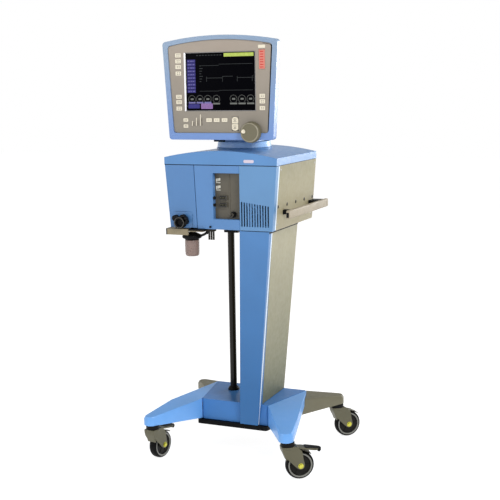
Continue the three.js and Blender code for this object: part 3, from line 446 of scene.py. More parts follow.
def rectangle(x, z):
    return [(x[0], z[0]), (x[1], z[0]), (x[1], z[1]), (x[0], z[1])]


def prism(outline, axis, low, high, angle=35):
    """An outline swept along an axis. The outline's coordinates are YZ for x, XZ for y and XY for z."""
    def at(point, depth):
        a, b = point
        return {"x": (depth, a, b), "y": (a, depth, b), "z": (a, b, depth)}[axis]
    count = len(outline)
    points = [at(p, low) for p in outline] + [at(p, high) for p in outline]
    faces = [tuple(range(count)), tuple(range(2 * count - 1, count - 1, -1))]
    faces += [(i, (i + 1) % count, count + (i + 1) % count, count + i) for i in range(count)]
    return mesh_from("prism", points, faces, angle)


def slab(x, y, z):
    return prism(rectangle(x, y), "z", z[0], z[1])


def disc(radius, low, high):
    """The profile of a solid round plate between two heights."""
    return [(0, low), (radius, low), (radius, high), (0, high)]


def band(inner, outer, low, high):
    """The profile of a plain ring between two heights."""
    return [(inner, low), (outer, low), (outer, high), (inner, high), (inner, low)]


def mirrored(half):
    """A profile or outline and its mirror image across the first axis, from the mirrored start."""
    return [(a, -b) for a, b in half] + half[::-1]


def lathe(profile, centre, axis="z", steps=48, angle=35):
    """A profile of (radius, height) pairs turned about an axis through centre; heights run along the axis."""
    centre = Vector(centre)
    points = []
    rings = []
    for radius, height in profile:
        ring = []
        for i in range(steps if radius > 0 else 1):
            turn = 2 * math.pi * i / steps
            a = radius * math.cos(turn)
            b = radius * math.sin(turn)
            local = {"x": (height, a, b), "y": (a, height, b), "z": (a, b, height)}[axis]
            ring.append(len(points))
            points.append(centre + Vector(local))
        rings.append(ring)
    faces = []
    for low, high in zip(rings, rings[1:]):
        for j in range(steps):
            k = (j + 1) % steps
            corners = [low[j % len(low)], low[k % len(low)], high[k % len(high)], high[j % len(high)]]
            face = tuple(dict.fromkeys(corners))
            if len(face) > 2:
                faces.append(face)
    return mesh_from("lathe", points, faces, angle)


def loft(rings, angle=40):
    """Joins rings of equal point count into a closed skin with flat ends."""
    count = len(rings[0])
    points = [p for ring in rings for p in ring]
    faces = [tuple(range(count)), tuple(range(len(points) - 1, len(points) - 1 - count, -1))]
    for i in range(len(rings) - 1):
        for j in range(count):
            k = (j + 1) % count
            faces.append((i * count + j, i * count + k, (i + 1) * count + k, (i + 1) * count + j))
    return mesh_from("loft", points, faces, angle)


def merged(meshes):
    """Several meshes as one."""
    shape = bmesh.new()
    for mesh in meshes:
        shape.from_mesh(mesh)
        bpy.data.meshes.remove(mesh)
    result = bpy.data.meshes.new("merged")
    shape.to_mesh(result)
    shape.free()
    smooth(result)
    return result


def tube(points, radius, steps=16):
    """A round bar along a line of points."""
    slant = Vector((0.3, 0.2, 0.93))  # along none of the bars, so that it gives each one a sideways direction
    points = [Vector(p) for p in points]
    rings = []
    for i, point in enumerate(points):
        along = (points[min(i + 1, len(points) - 1)] - points[max(i - 1, 0)]).normalized()
        across = along.cross(slant).normalized()
        other = along.cross(across)
        turns = [2 * math.pi * j / steps for j in range(steps)]
        rings.append([point + across * radius * math.cos(a) + other * radius * math.sin(a) for a in turns])
    return loft(rings)


def rounded_slab(x, z, radius, y):
    """A plate facing the front with rounded corners."""
    return prism(fillet(rectangle(x, z), radius), "y", y[0], y[1])


def keep_cad(name, material, edge):
    """A CAD node that stays: welded, its flat areas merged, its edges rounded, with its material."""
    obj = nodes[name]
    if "custom_normal" in obj.data.attributes:
        obj.data.attributes.remove(obj.data.attributes["custom_normal"])
    obj.data.polygons.foreach_set("use_smooth", [True] * len(obj.data.polygons))
    weld = obj.modifiers.new("weld", "WELD")
    weld.merge_threshold = 1e-5
    flat = obj.modifiers.new("flat", "DECIMATE")
    flat.decimate_type = "DISSOLVE"
    flat.angle_limit = math.radians(0.4)
    soften(obj, edge * MM, angle=30)
    obj.data.materials.clear()
    obj.data.materials.append(materials[material])


def box_mm(node):
    low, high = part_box(node)
    lift = Vector((0, 0, LIFT))
    return low / MM - lift, high / MM - lift


def middle_mm(node):
    low, high = box_mm(node)
    return (low + high) / 2


def half_width(node, z, reach=14):
    """Half the width of a node near a height."""
    xs = [v.co.x / MM for v in nodes[node].data.vertices if abs(v.co.z / MM - LIFT - z) < reach]
    return max(xs)


# ---------- carried-over CAD nodes ----------

CARRIED = {
    "blue": ["front_fascia"],
    "blue_spine": ["spine_cover"],
    "blue_door": ["exhalation_door", "exhalation_valve"],
    "blue_lid": ["top_cover"],
    "blue_column": ["column_front_cover"],
    "blue_base": ["base_cover"],
    "blue_leg": ["front_leg_left", "front_leg_right"],
    "blue_collar_painted_light": ["swivel_collar"],
    "rim": ["monitor_bezel"],
    "beige": ["bottom_pan", "side_panel_left", "side_panel_right", "rear_panel"],
    "beige_column": ["column_rear_shell"],
    "beige_leg": ["rear_leg_left", "rear_leg_right"],
    "black": ["base_underframe", "pole_bracket", "tilt_yoke", "fan_housing", "fan_rotor", "power_inlet",
              "caster_stem_front_left", "caster_stem_front_right", "caster_stem_rear_right",
              "caster_stem_rear_left"],
    "taupe": ["monitor_fascia"],
    "taupe_deep": ["connection_panel"],
    "steel": ["column_frame"],
    "alloy": ["gas_manifold", "power_supply"],
    "board": ["main_board"],
    "pack": ["battery_pack"],
    "screen": ["display_panel"],
    "red": ["alarm_light"],
    "cream": ["accept_key", "cancel_key"],
    "tray": ["trap_bracket"],
    "pole": ["circuit_ports"],
}
EDGE = 1.2  # rounding of an edge that isn't named below
EDGES = {
    "monitor_bezel": 3.0, "monitor_fascia": 0.5, "accept_key": 0.9, "cancel_key": 0.9, "tilt_yoke": 3.0,
    "swivel_collar": 1.5, "top_cover": 4.0, "spine_cover": 1.6, "front_fascia": 1.6, "exhalation_door": 1.4,
    "connection_panel": 0.6, "trap_bracket": 3.0, "fan_rotor": 0.3, "main_board": 0.3,
    "column_front_cover": 3.0, "base_cover": 6.0, "front_leg_left": 6.0, "front_leg_right": 6.0,
    "rear_leg_left": 6.0, "rear_leg_right": 6.0,
}


# ---------- monitor ----------

def monitor_outline(inset, corner, arch_steps=12):
    """The monitor's front outline drawn in by an inset: sides that lean out and an arched top."""
    low, high = box_mm("monitor_bezel")
    half_low = half_width("monitor_bezel", low.z + 2, 12)
    half_high = high.x
    bottom = low.z + inset
    side_top = high.z - ARCH_RISE - inset
    apex = high.z - inset

    def half(z):
        return half_low + (half_high - half_low) * (z - low.z) / (high.z - ARCH_RISE - low.z) - inset
    points = [(-half(bottom), bottom), (half(bottom), bottom)]
    edge = half(side_top)
    for i in range(arch_steps + 1):
        x = edge * (1 - 2 * i / arch_steps)
        points.append((x, apex - (apex - side_top) * (x / edge) ** 2))
    radii = [corner, corner, corner] + [0] * (arch_steps - 1) + [corner]
    return fillet(points, radii)


def outline_ring(inset, corner, y):
    """The drawn-in front outline of the monitor as points at one depth."""
    return [Vector((x, y, z)) for x, z in monitor_outline(inset, corner)]


def build_monitor_shell():
    """Rear housing: a rounded shell that narrows to a flat back, with ears for the tilt pin."""
    front = box_mm("monitor_rear_housing")[0].y
    back = front + 86
    rings = [outline_ring(0.6, 10, front), outline_ring(0.6, 10, front + 3.2)]
    rings.append(outline_ring(3, 12, front + 4.4))
    steps = 7
    for i in range(1, steps + 1):
        share = i / steps
        rings.append(outline_ring(3 + 46 * share ** 0.9, 12 + 10 * share, front + 4.4 + 76 * share))
    rings.append(outline_ring(52, 22, back - 1.2))
    rings.append(outline_ring(54.5, 22, back))
    pin = TILT_PIN
    ears = []
    for side in (-1, 1):
        outline = fillet([(back - 2, pin.z - 28), (pin.y + 10, pin.z - 15), (pin.y + 15, pin.z),
                          (pin.y + 10, pin.z + 15), (back - 2, pin.z + 28)], [0, 8, 8, 8, 0])
        inner, outer = sorted((side * 46, side * 56))
        ears.append(prism(outline, "x", inner, outer))
    piece("monitor_shell", [loft(rings)] + ears, "monitor", "blue",
          ["monitor_rear_housing"], edge=0.8)
    vents = []
    for row in range(9):
        z = MONITOR_VENT_LOW + row * 12
        vents.append(rounded_slab((-82, 82), about(z, 2.4), 2.3, about(back, 0.5)))
    piece("monitor_vents", vents, "monitor", "black")
    screws = []
    for x in MONITOR_SCREWS["x"]:
        for z in MONITOR_SCREWS["z"]:
            screws.append(lathe([(0, back - 0.5), (4.2, back - 0.5), (4.2, back + 1), (3.2, back + 1.8),
                                 (1.6, back + 1.8), (1.4, back + 0.6), (0, back + 0.6)], (x, 0, z), "y", 20))
    piece("monitor_screws", screws, "monitor", "steel")
    label = rounded_slab(*MONITOR_PLATE, 3, (back - 0.4, back + 0.35))
    piece("monitor_plate", label, "monitor", "label")


def screen_frame():
    """Corners of the visible screen: the panel less its hidden border."""
    low, high = box_mm("display_panel")
    border = 9
    return (low.x + border, high.x - border), (low.z + border, high.z - border), low.y


def build_window_frame():
    x, z, glass = screen_frame()
    front = box_mm("monitor_fascia")[0].y + 1
    outer = fillet(rectangle((x[0] - 1.7, x[1] + 1.7), (z[0] - 1.7, z[1] + 1.7)), 1.5)
    inner = fillet(rectangle((x[0] + 0.4, x[1] - 0.4), (z[0] + 0.4, z[1] - 0.4)), 1.5)
    rings = []
    levels = ((outer, glass - 0.05), (outer, front - 0.5), (inner, front - 0.5), (inner, glass - 0.05))
    for outline, y in levels:
        rings.append([Vector((a, y, b)) for a, b in outline])
    count = len(outer)
    faces = []
    for i in range(4):
        for j in range(count):
            k = (j + 1) % count
            n = (i + 1) % 4
            faces.append((i * count + j, i * count + k, n * count + k, n * count + j))
    ring = mesh_from("ring", [p for r in rings for p in r], faces)
    piece("window_frame", ring, "monitor", "frame_grey", edge=0.4)
    # A white strip on the window's left reveal: painted highlight where the reveal faces the light.
    strip = rounded_slab((x[0] - 3.6, x[0] + 1), (z[0] - 1.6, z[1] + 1.6), 1, (front - 0.7, glass - 0.05))
    piece("window_reveal_highlight", strip, "monitor", "reveal_highlight_white", edge=0.4)


def build_screen_image():
    """Generic lit screen: a status bar, a key column, three faint traces, seven round gauges and two tabs."""
    x, z, glass = screen_frame()
    width = x[1] - x[0]
    height = z[1] - z[0]
    front = glass - 0.35

    def at(u, v):
        return x[0] + u * width, z[0] + v * height

    def patch(u, v, radius=0.6, lift=0.0):
        a = at(u[0], v[0])
        b = at(u[1], v[1])
        return rounded_slab((a[0], b[0]), (a[1], b[1]), radius, (front - lift, glass + 0.2))

    def ring_of(u, v, radius, thick, from_turn=0.0, to_turn=1.0, steps=28):
        a, b = at(u, v)
        inner, outer = [], []
        for i in range(steps + 1):
            turn = 2 * math.pi * (from_turn + (to_turn - from_turn) * i / steps)
            inner.append((a + (radius - thick) * math.cos(turn), b + (radius - thick) * math.sin(turn)))
            outer.append((a + radius * math.cos(turn), b + radius * math.sin(turn)))
        points = [(p[0], front, p[1]) for p in inner + outer]
        count = steps + 1
        faces = [(i, i + 1, count + i + 1, count + i) for i in range(steps)]
        return mesh_from("arc", points, faces)

    piece("screen_bar", patch((0.555, 0.975), (0.925, 0.985)), "monitor", "lime")
    piece("screen_tab_lit", patch((0.215, 0.385), (0.03, 0.125), 3), "monitor", "violet")
    piece("screen_tab", patch((0.03, 0.195), (0.04, 0.115), 3), "monitor", "indigo")
    rows = 10
    keys, dashes = [], []
    for i in range(rows):
        top = 0.885 - i * 0.058
        keys.append(patch((0.022, 0.142), (top - 0.05, top)))
        for j in range(3):
            left = 0.035 + j * 0.034
            right = left + 0.018 + 0.008 * ((i + j) % 2)
            dashes.append(patch((left, right), (top - 0.032, top - 0.02), 0.3, 0.2))
    piece("screen_keys", keys, "monitor", "indigo")
    piece("screen_key_dashes", dashes, "monitor", "pale_text")
    traces = []
    thin = 0.006
    for v, level in ((0.775, 0.02), (0.335, 0.012)):
        traces.append(patch((0.2, 0.48), (v, v + thin), 0.2))
        traces.append(patch((0.48, 0.96), (v + level, v + level + thin), 0.2))
    pulses = [0.3, 0.53, 0.74, 0.95]
    for i, u in enumerate(pulses):
        traces.append(patch((u, u + 0.005), (0.5, 0.59), 0.2))
        if i % 2:
            traces.append(patch((u, min(0.97, u + 0.15)), (0.585, 0.592), 0.2))
        else:
            traces.append(patch((u + 0.005, u + 0.235), (0.56, 0.567), 0.2))
    for i in range(9):
        traces.append(patch((0.16 + i * 0.042, 0.185 + i * 0.042), (0.95, 0.962), 0.2))
    for i in range(7):
        traces.append(patch((0.2, 0.225 + 0.012 * (i % 3)), (0.5 + i * 0.045, 0.51 + i * 0.045), 0.2))
    piece("screen_traces", traces, "monitor", "trace")
    gauges, marks = [], []
    for u in (0.085, 0.2, 0.315, 0.44, 0.685, 0.805, 0.925):
        gauges.append(ring_of(u, 0.2, 12.6, 0.9, -0.14, 0.64))
        gauges.append(ring_of(u, 0.2, 1.6, 1.5))
        marks.append(patch((u - 0.02, u + 0.022), (0.185, 0.215), 0.3))
    for u in (0.44, 0.685, 0.805, 0.925):
        gauges.append(patch(about(u, 0.05), (0.107, 0.135), 0.5))
    piece("screen_gauges", gauges, "monitor", "gauge")
    piece("screen_gauge_marks", marks, "monitor", "gauge")
    violets = [patch(about(u, 0.05), (0.125, 0.152), 0.5) for u in (0.085, 0.2, 0.315)]
    piece("screen_labels", violets, "monitor", "pale_text")


def build_keys():
    """Printed keys of the sealed overlay: cream pads with small generic marks."""
    front = box_mm("monitor_fascia")[0].y
    y = (front - 0.35, front + 0.4)
    ink_y = (front - 0.5, front - 0.2)
    screen_x, screen_z, _ = screen_frame()
    middle_z = (screen_z[0] + screen_z[1]) / 2
    left_x = screen_x[0] - 24
    right_x = screen_x[1] + 24
    pads, marks = [], []

    def pad(x, z, width, height, rows=2, columns=2):
        pads.append(rounded_slab(about(x, width / 2), about(z, height / 2), 2, y))
        cell = width / (columns + 1)
        for i in range(columns):
            for j in range(rows):
                a = x - width / 2 + cell * (i + 0.75)
                b = z + (j - (rows - 1) / 2) * height / (rows + 0.8)
                marks.append(rounded_slab((a, a + cell * 0.6), about(b, 0.8), 0.4, ink_y))

    for z in KEY_ROWS:
        pad(left_x, middle_z + z, 20.5, 13)
    for z in KEY_ROWS[-3:]:
        pad(right_x, middle_z + z, 18.5, 13)
    for x in LOW_KEYS["x"]:
        pad(x, middle_z - LOW_KEYS["drop"], 20, 12, 1, 2)
    for drop in TOGGLES["drops"]:
        pad(TOGGLES["x"], middle_z - drop, 17, 11)
    alarm_low, alarm_high = box_mm("alarm_light")
    above_alarm = (alarm_high.z + 5, alarm_high.z + 15)
    pads.append(rounded_slab((alarm_low.x - 2, alarm_high.x + 2), above_alarm, 2, y))
    for i, reach in enumerate((16, 26, 37)):
        left = -101 + i * 14.5
        pads.append(rounded_slab((left, left + 2.6), (KEY_SYMBOLS_FOOT, KEY_SYMBOLS_FOOT + reach), 1.2, y))
        inked = (KEY_SYMBOLS_FOOT, KEY_SYMBOLS_FOOT + reach * 0.7)
        marks.append(rounded_slab((left + 5, left + 6.2), inked, 0.5, ink_y))
    piece("key_pads", pads, "monitor", "cream")
    piece("key_marks", marks, "monitor", "ink")
    key_marks = {"accept_key": "accept", "cancel_key": "cancel"}
    for node, body in key_marks.items():
        low, high = box_mm(node)
        mid = (low + high) / 2
        lines = []
        for j in (-1, 0, 1):
            wide = 5.5 if j else 4
            z = mid.z + j * 4.4
            lines.append(rounded_slab(about(mid.x, wide), about(z, 0.8), 0.5,
                                      (low.y - 0.15, low.y + 0.3)))
        piece(body + "_mark", lines, body, "ink")


def build_alarm_marks():
    low, high = box_mm("alarm_light")
    marks = []
    count = 7
    for i in range(count):
        z = low.z + 6 + i * (high.z - low.z - 12) / (count - 1)
        marks.append(rounded_slab((low.x + 4, high.x - 4), about(z, 1.2), 1, (low.y - 0.4, low.y + 0.3)))
    piece("alarm_ribs", marks, "monitor", "red_deep")


def build_dial():
    """Dial: a domed knob with a knurled skirt, a lighter rim and a finger dimple at its left, its cup drawn
    pale as a painted highlight.
    """
    low, high = box_mm("data_dial")
    centre = (low + high) / 2
    radius = (high.x - low.x) / 2
    front = low.y
    back = front + 19
    profile = [(0, front + 0.6), (radius * 0.3, front + 0.55), (radius * 0.6, front + 0.3),
               (radius * 0.78, front), (radius * 0.86, front + 0.6), (radius * 0.92, front + 2.2),
               (radius * 0.965, front + 4.5), (radius * 0.985, back - 4), (radius, back - 3),
               (radius, back - 0.8), (radius - 1, back), (0, back)]
    fine = []
    for (r0, h0), (r1, h1) in zip(profile, profile[1:]):
        steps = 5 if r0 < radius * 0.78 and r1 <= radius * 0.79 else 1
        for i in range(steps):
            share = i / steps
            fine.append((r0 + (r1 - r0) * share, h0 + (h1 - h0) * share))
    fine.append(profile[-1])
    knob = lathe(fine, (centre.x, 0, centre.z), "y", 96)
    dimple = Vector((centre.x - radius * 0.6, 0, centre.z + 3))
    reach = 8.6
    for vertex in knob.vertices:
        away = math.hypot(vertex.co.x - dimple.x, vertex.co.z - dimple.z) / reach
        if vertex.co.y < front + 2 and away < 1:
            vertex.co.y += 4.2 * (1 - away ** 2) ** 0.8
        turn = math.atan2(vertex.co.z - centre.z, vertex.co.x - centre.x)
        out = math.hypot(vertex.co.z - centre.z, vertex.co.x - centre.x)
        if out > radius * 0.95 and vertex.co.y < back - 3.5:
            grip = 1 - 0.012 * (1 + math.cos(turn * 48)) / 2
            vertex.co.x = centre.x + (vertex.co.x - centre.x) * grip
            vertex.co.z = centre.z + (vertex.co.z - centre.z) * grip
    piece("dial_knob", knob, "dial", "knob", ["data_dial"])
    rim = lathe([(radius * 0.80, front - 0.12), (radius * 0.865, front + 0.45), (radius * 0.9, front + 1.5),
                 (radius * 0.9, front + 3), (radius * 0.8, front + 3), (radius * 0.80, front - 0.12)],
                (centre.x, 0, centre.z), "y", 72)
    piece("dial_rim", rim, "dial", "knob_rim")
    cup = []
    for i in range(7):
        share = i / 6
        cup.append((share * 6.6, front + 4.1 * (1 - share ** 2) ** 0.8 + 0.35))
    cup.append((0, front + 5))
    # The dimple's cream cup is a painted highlight.
    piece("dial_dimple", lathe(cup, (dimple.x, 0, dimple.z), "y", 32), "dial", "cream")
    shaft = lathe(disc(6.4, back - 1, back + 20), (centre.x, 0, centre.z), "y", 24)
    piece("dial_shaft", shaft, "dial", "steel")


def build_bezel_shadow_gap():
    """A dark strip between the rim and the overlay along its right side: painted shadow in the gap."""
    front = box_mm("monitor_fascia")[0].y + 1
    outline = monitor_outline(16.4, 6)
    right = [p for p in outline if p[0] > 150]
    right = sorted(right, key=lambda p: p[1])
    inner = [(x - 5.2, z) for x, z in right]
    loop = right + inner[::-1]
    # The black strip is painted shadow along the rim's right inner edge.
    piece("rim_shadow_strip", prism(loop, "y", front - 0.7, front + 0.5), "monitor", "black")


def build_neck():
    """Foot of the yoke: a black bearing block at the left, a blue shroud at the right."""
    top = box_mm("swivel_collar")[1].z
    under = box_mm("monitor_bezel")[0].z
    outline = fillet([(-34, -84), (76, -84), (82, -30), (76, 60), (-34, 60)], 14)
    shroud = prism(outline, "z", top + 0.6, under - 3)
    piece("neck_shroud", shroud, "monitor_turntable", "blue", edge=2)
    block = prism(fillet([(-78, -76), (-35, -76), (-35, 50), (-78, 50)], 8), "z", top + 0.6, under - 4)
    piece("neck_block", block, "monitor_turntable", "black", edge=1.5)
    groove = lathe(band(80, 86.5, top - 0.5, top + 0.5)[:-1], (0, 7, 0), "z", 72)
    piece("neck_groove", groove, "monitor_turntable", "black")


# ---------- ventilator case ----------

def case_half(z):
    """Half width of the case at a height; the sides lean out towards the top."""
    low, high = box_mm("side_panel_right")
    foot = half_width("side_panel_right", low.z, 4)
    return foot + (high.x - foot) * (z - low.z) / (high.z - low.z)


def rear_corner(node, z, reach=2):
    """X and Y of the right rear corner of a CAD node at a height."""
    spots = [v.co / MM for v in nodes[node].data.vertices if abs(v.co.z / MM - LIFT - z) < reach]
    right = max(spot.x for spot in spots)
    return right, max(spot.y for spot in spots if spot.x > right - 1)


def side_strip(low_corner, high_corner, z, proud, wide, behind):
    """A thin strip up a leaning side wall, a distance in front of the wall's rear edge."""
    rings = []
    for (x, y), height in ((low_corner, z[0]), (high_corner, z[1])):
        outline = rectangle((x - 1.5, x + proud), (y - behind - wide, y - behind))
        rings.append([Vector((a, b, height)) for a, b in outline])
    return loft(rings)


def build_edge_lines():
    """Pale strips along the blue covers' right edges, a painted highlight, and dark seams where the blue covers
    meet the beige panels at the right.
    """
    pale, dark = [], []
    for node in ("spine_cover", "column_front_cover"):
        low, high = box_mm(node)
        ends = rear_corner(node, low.z), rear_corner(node, high.z)
        z = (low.z + 2, high.z - 2)
        # The pale strip is a painted highlight on the cover's side edge.
        pale.append(side_strip(*ends, z, 0.3, 8, 1))
        dark.append(side_strip(*ends, z, 0.2, 1.4, -0.8))
    piece("edge_highlights", pale, "root", "edge_highlight_white")
    piece("edge_seams", dark, "root", "black")


def build_case_trim():
    """Backing behind the slots, a seal under the lid, a dark strip behind the door's seam that is painted
    shadow in the gap, and a blank plate on the lid.
    """
    front = box_mm("front_fascia")[0].y
    low, high = box_mm("spine_cover")
    backing = slab((low.x + 3, high.x - 22), (front + 4.4, front + 5), (low.z + 9, low.z + 97))
    piece("vent_backing", backing, "root", "black")
    seam = high.z
    side = case_half(seam) + 0.2
    back = box_mm("rear_panel")[1].y
    dark_strips = [slab((-side, side), (front - 0.2, front + 3), (seam - 1.0, seam + 1.4))]
    for sign in (-1, 1):
        x = sorted((sign * side, sign * (side - 2)))
        dark_strips.append(slab(x, (front + 3, back - 2), (seam - 1.0, seam + 1.4)))
    piece("lid_seal", dark_strips, "root", "black")
    low, high = box_mm("front_fascia")
    # A black strip behind the seam between the front and the door: painted shadow in the gap.
    foot = min(v.co.x / MM for v in nodes["front_fascia"].data.vertices if v.co.z / MM - LIFT < low.z + 1)
    outline = [(foot - 2.6, low.z), (foot + 0.8, low.z), (low.x + 0.8, high.z), (low.x - 2.6, high.z)]
    piece("door_seam_shadow", prism(outline, "y", front + 4.2, front + 6), "root", "black")
    plate = fillet(rectangle((85, 121), (seam + 9, seam + 19)), 5)
    piece("lid_plate", prism(plate, "y", front - 0.45, front + 1), "root", "badge", edge=0.3)


def build_side_holes():
    """Dark plugs in the row of small holes, and a few panel screws."""
    panel = box_mm("side_panel_right")
    wide = SIDE_HOLES["radius"]
    plug = [(0, -0.6), (wide, -0.6), (wide, 0.3), (wide - 0.8, 0.6), (0, 0.6)]
    plugs, screws = [], []
    for sign in (-1, 1):
        x = sign * case_half(SIDE_HOLES["z"])
        for y in SIDE_HOLES["y"]:
            plugs.append(lathe(plug, (x, y, SIDE_HOLES["z"]), "x", 24))
        for y in (panel[0].y + 12, panel[1].y - 12):
            for z in (panel[0].z + 14, panel[1].z - 14):
                at = sign * (case_half(z) - 0.2)
                screws.append(lathe([(0, -0.8), (3.4, -0.8), (3.4, 0.25), (2.6, 0.6), (1.3, 0.6), (1.1, -0.2),
                                     (0, -0.2)], (at, y, z), "x", 20))
    piece("side_plugs", plugs, "root", "black")
    return screws


def build_recess():
    """Fittings on the plate in the recess: two sockets, two knobs, two printed lines, an outlet and two small
    signs.
    """
    low = box_mm("connection_panel")[0]
    plate = low.y + 17
    left = low.x + 4
    sockets, inserts, signs, knobs = [], [], [], []
    for z in SOCKET_ROWS:
        sockets.append(rounded_slab((-9, 18), about(z, 7), 2.5, (plate - 6.8, plate - 5.6)))
        inserts.append(rounded_slab((-6, 15), about(z, 4.4), 1.5, (plate - 7.1, plate - 6.2)))
        knobs.append(lathe([(0, left), (4.6, left), (5.2, left + 2), (5.2, left + 6), (4, left + 7.5),
                            (0, left + 7.8)], (0, plate - 15, z), "x", 24))
        for i in range(4):
            x = -3.5 + i * 5.4
            signs.append(rounded_slab((x, x + 1.6), about(z, 1.8), 0.6, (plate - 7.4, plate - 6.6)))
    piece("socket_frames", sockets, "root", "taupe_dark", edge=0.5)
    piece("socket_inserts", inserts, "root", "black", edge=0.3)
    piece("socket_pins", signs, "root", "brass_dull")
    piece("recess_knobs", knobs, "root", "black")
    face = (plate - 0.35, plate + 0.2)
    marks = []
    for z in SIGN_ROWS:
        for i in range(3):
            x = left + 3 + i * 5.6
            marks.append(rounded_slab((x, x + 4.4), (z - 5 + i * 1.5, z + 5 + i), 1.6, face))
        marks.append(rounded_slab((left + 3, left + 19), (z - 9.4, z - 7.2), 0.8, face))
    piece("recess_marks", marks, "root", "label")
    lines = [rounded_slab((-8, 17), about(z, 0.8), 0.6, (plate - 0.3, plate + 0.2)) for z in RECESS_LINES]
    piece("recess_lines", lines, "root", "ink")
    profile = [(0, plate - 17), (3.4, plate - 17), (4.4, plate - 16), (4.6, plate - 13), (4.1, plate - 12),
               (5.2, plate - 10), (5.2, plate - 8.6), (9.2, plate - 8.2), (9.8, plate - 7),
               (9.8, plate - 1), (9, plate + 0.4), (0, plate + 0.4)]
    outlet = lathe(profile, OUTLET, "y", 32)
    piece("outlet_cap", outlet, "root", "black")


def build_handle():
    """Flat handle bar on two black arms; the rear arm is wide and level with the top of the bar."""
    low, high = box_mm("handle_right")
    outer = high.x
    inner = outer - 12
    middle = Vector(((inner + outer) / 2, (low.z + high.z) / 2))
    bar = fillet(rectangle((inner, outer), (low.z, high.z)), [3, 5, 4, 3])
    rings = []
    ends = ((low.y, 3.5), (low.y + 1.2, 1.2), (low.y + 4, 0),
            (high.y - 4, 0), (high.y - 1.2, 1.2), (high.y, 3.5))
    for y, draw in ends:
        ring = []
        for point in bar:
            away = Vector(point) - middle
            shrunk = (away.x * (1 - draw / 12), away.y * (1 - draw / 22))
            ring.append(Vector((middle.x + shrunk[0], y, middle.y + shrunk[1])))
        rings.append(ring)
    piece("handle_bar", loft(rings), "root", "handle", ["handle_right"])
    foot = case_half(high.z) + 0.3
    arms = []
    for y, half_y, rise, drop in HANDLE_ARMS:
        rings = []
        for x, flare in ((foot, 3), (foot + 3, 0), (inner + 1, 0)):
            outline = rectangle((y - half_y - flare, y + half_y),
                                (middle.y - drop - flare / 2, middle.y + rise))
            rings.append([Vector((x, a, b)) for a, b in fillet(outline, 2.5)])
        arms.append(loft(rings))
    arms.append(prism(fillet(rectangle((inner + 1.5, outer - 2), (middle.y - 9, middle.y + 7)), 2), "y",
                      low.y - 0.8, low.y + 1.5))
    piece("handle_arms", arms, "root", "black", edge=0.6)
    grooves = []
    for y in HANDLE_GROOVES:
        grooves.append(slab((outer - 1, outer), about(y, 0.7), (low.z + 4.5, high.z - 4)))
    piece("handle_grooves", grooves, "root", "groove")


# ---------- exhalation side ----------

def build_port():
    """Round port inside the locking ring: a lip, a dark bore, and the ring with its finger grips."""
    low, high = box_mm("filter_latch")
    x = (low.x + high.x) / 2
    centre = (x, 0, PORT_Z)
    front = low.y
    lip = lathe([(11.4, front + 12), (11.4, front + 1), (12.2, front), (14.2, front), (15, front + 1),
                 (15, front + 12), (11.4, front + 12)], centre, "y", 48)
    piece("port_lip", lip, "root", "black")
    plug = lathe(disc(11.3, front + 8, front + 9), centre, "y", 32)
    piece("port_bore", plug, "root", "black")
    grips = []
    for turn, away, radius in ((138, 22, 10), (58, 21, 9.5), (34, 21, 10), (10, 20, 10)):
        at = (x + away * math.cos(math.radians(turn)), 0, PORT_Z + away * math.sin(math.radians(turn)))
        grip = [(0, front + 1), (radius - 1.5, front + 1), (radius, front + 2.6), (radius, front + 17),
                (0, front + 17)]
        grips.append(lathe(grip, at, "y", 32))
    grips.append(lathe([(PORT_TUBE, front + 1), (18.6, front + 1), (19.5, front + 2.4), (19.5, front + 18),
                        (PORT_TUBE, front + 18), (PORT_TUBE, front + 1)], centre, "y", 56))
    piece("latch_ring", grips, "latch", "black", ["filter_latch"])
    # A grey ring round the port on the latch face: painted reflection.
    ring = lathe([(16, front + 0.6), (16.4, front), (17.2, front), (17.6, front + 0.6), (17.6, front + 2),
                  (16, front + 2), (16, front + 0.6)], centre, "y", 48)
    piece("latch_reflection_ring", ring, "latch", "latch_reflection_grey")
    door_low = box_mm("exhalation_door")[0]
    gasket = slab((NOTCH_X[0] + 0.3, NOTCH_X[1] - 0.3), (door_low.y + 0.2, door_low.y + 0.4),
                  (door_low.z + 1, NOTCH_TOP - 0.3))
    piece("valve_gasket", gasket, "root", "blue_door")


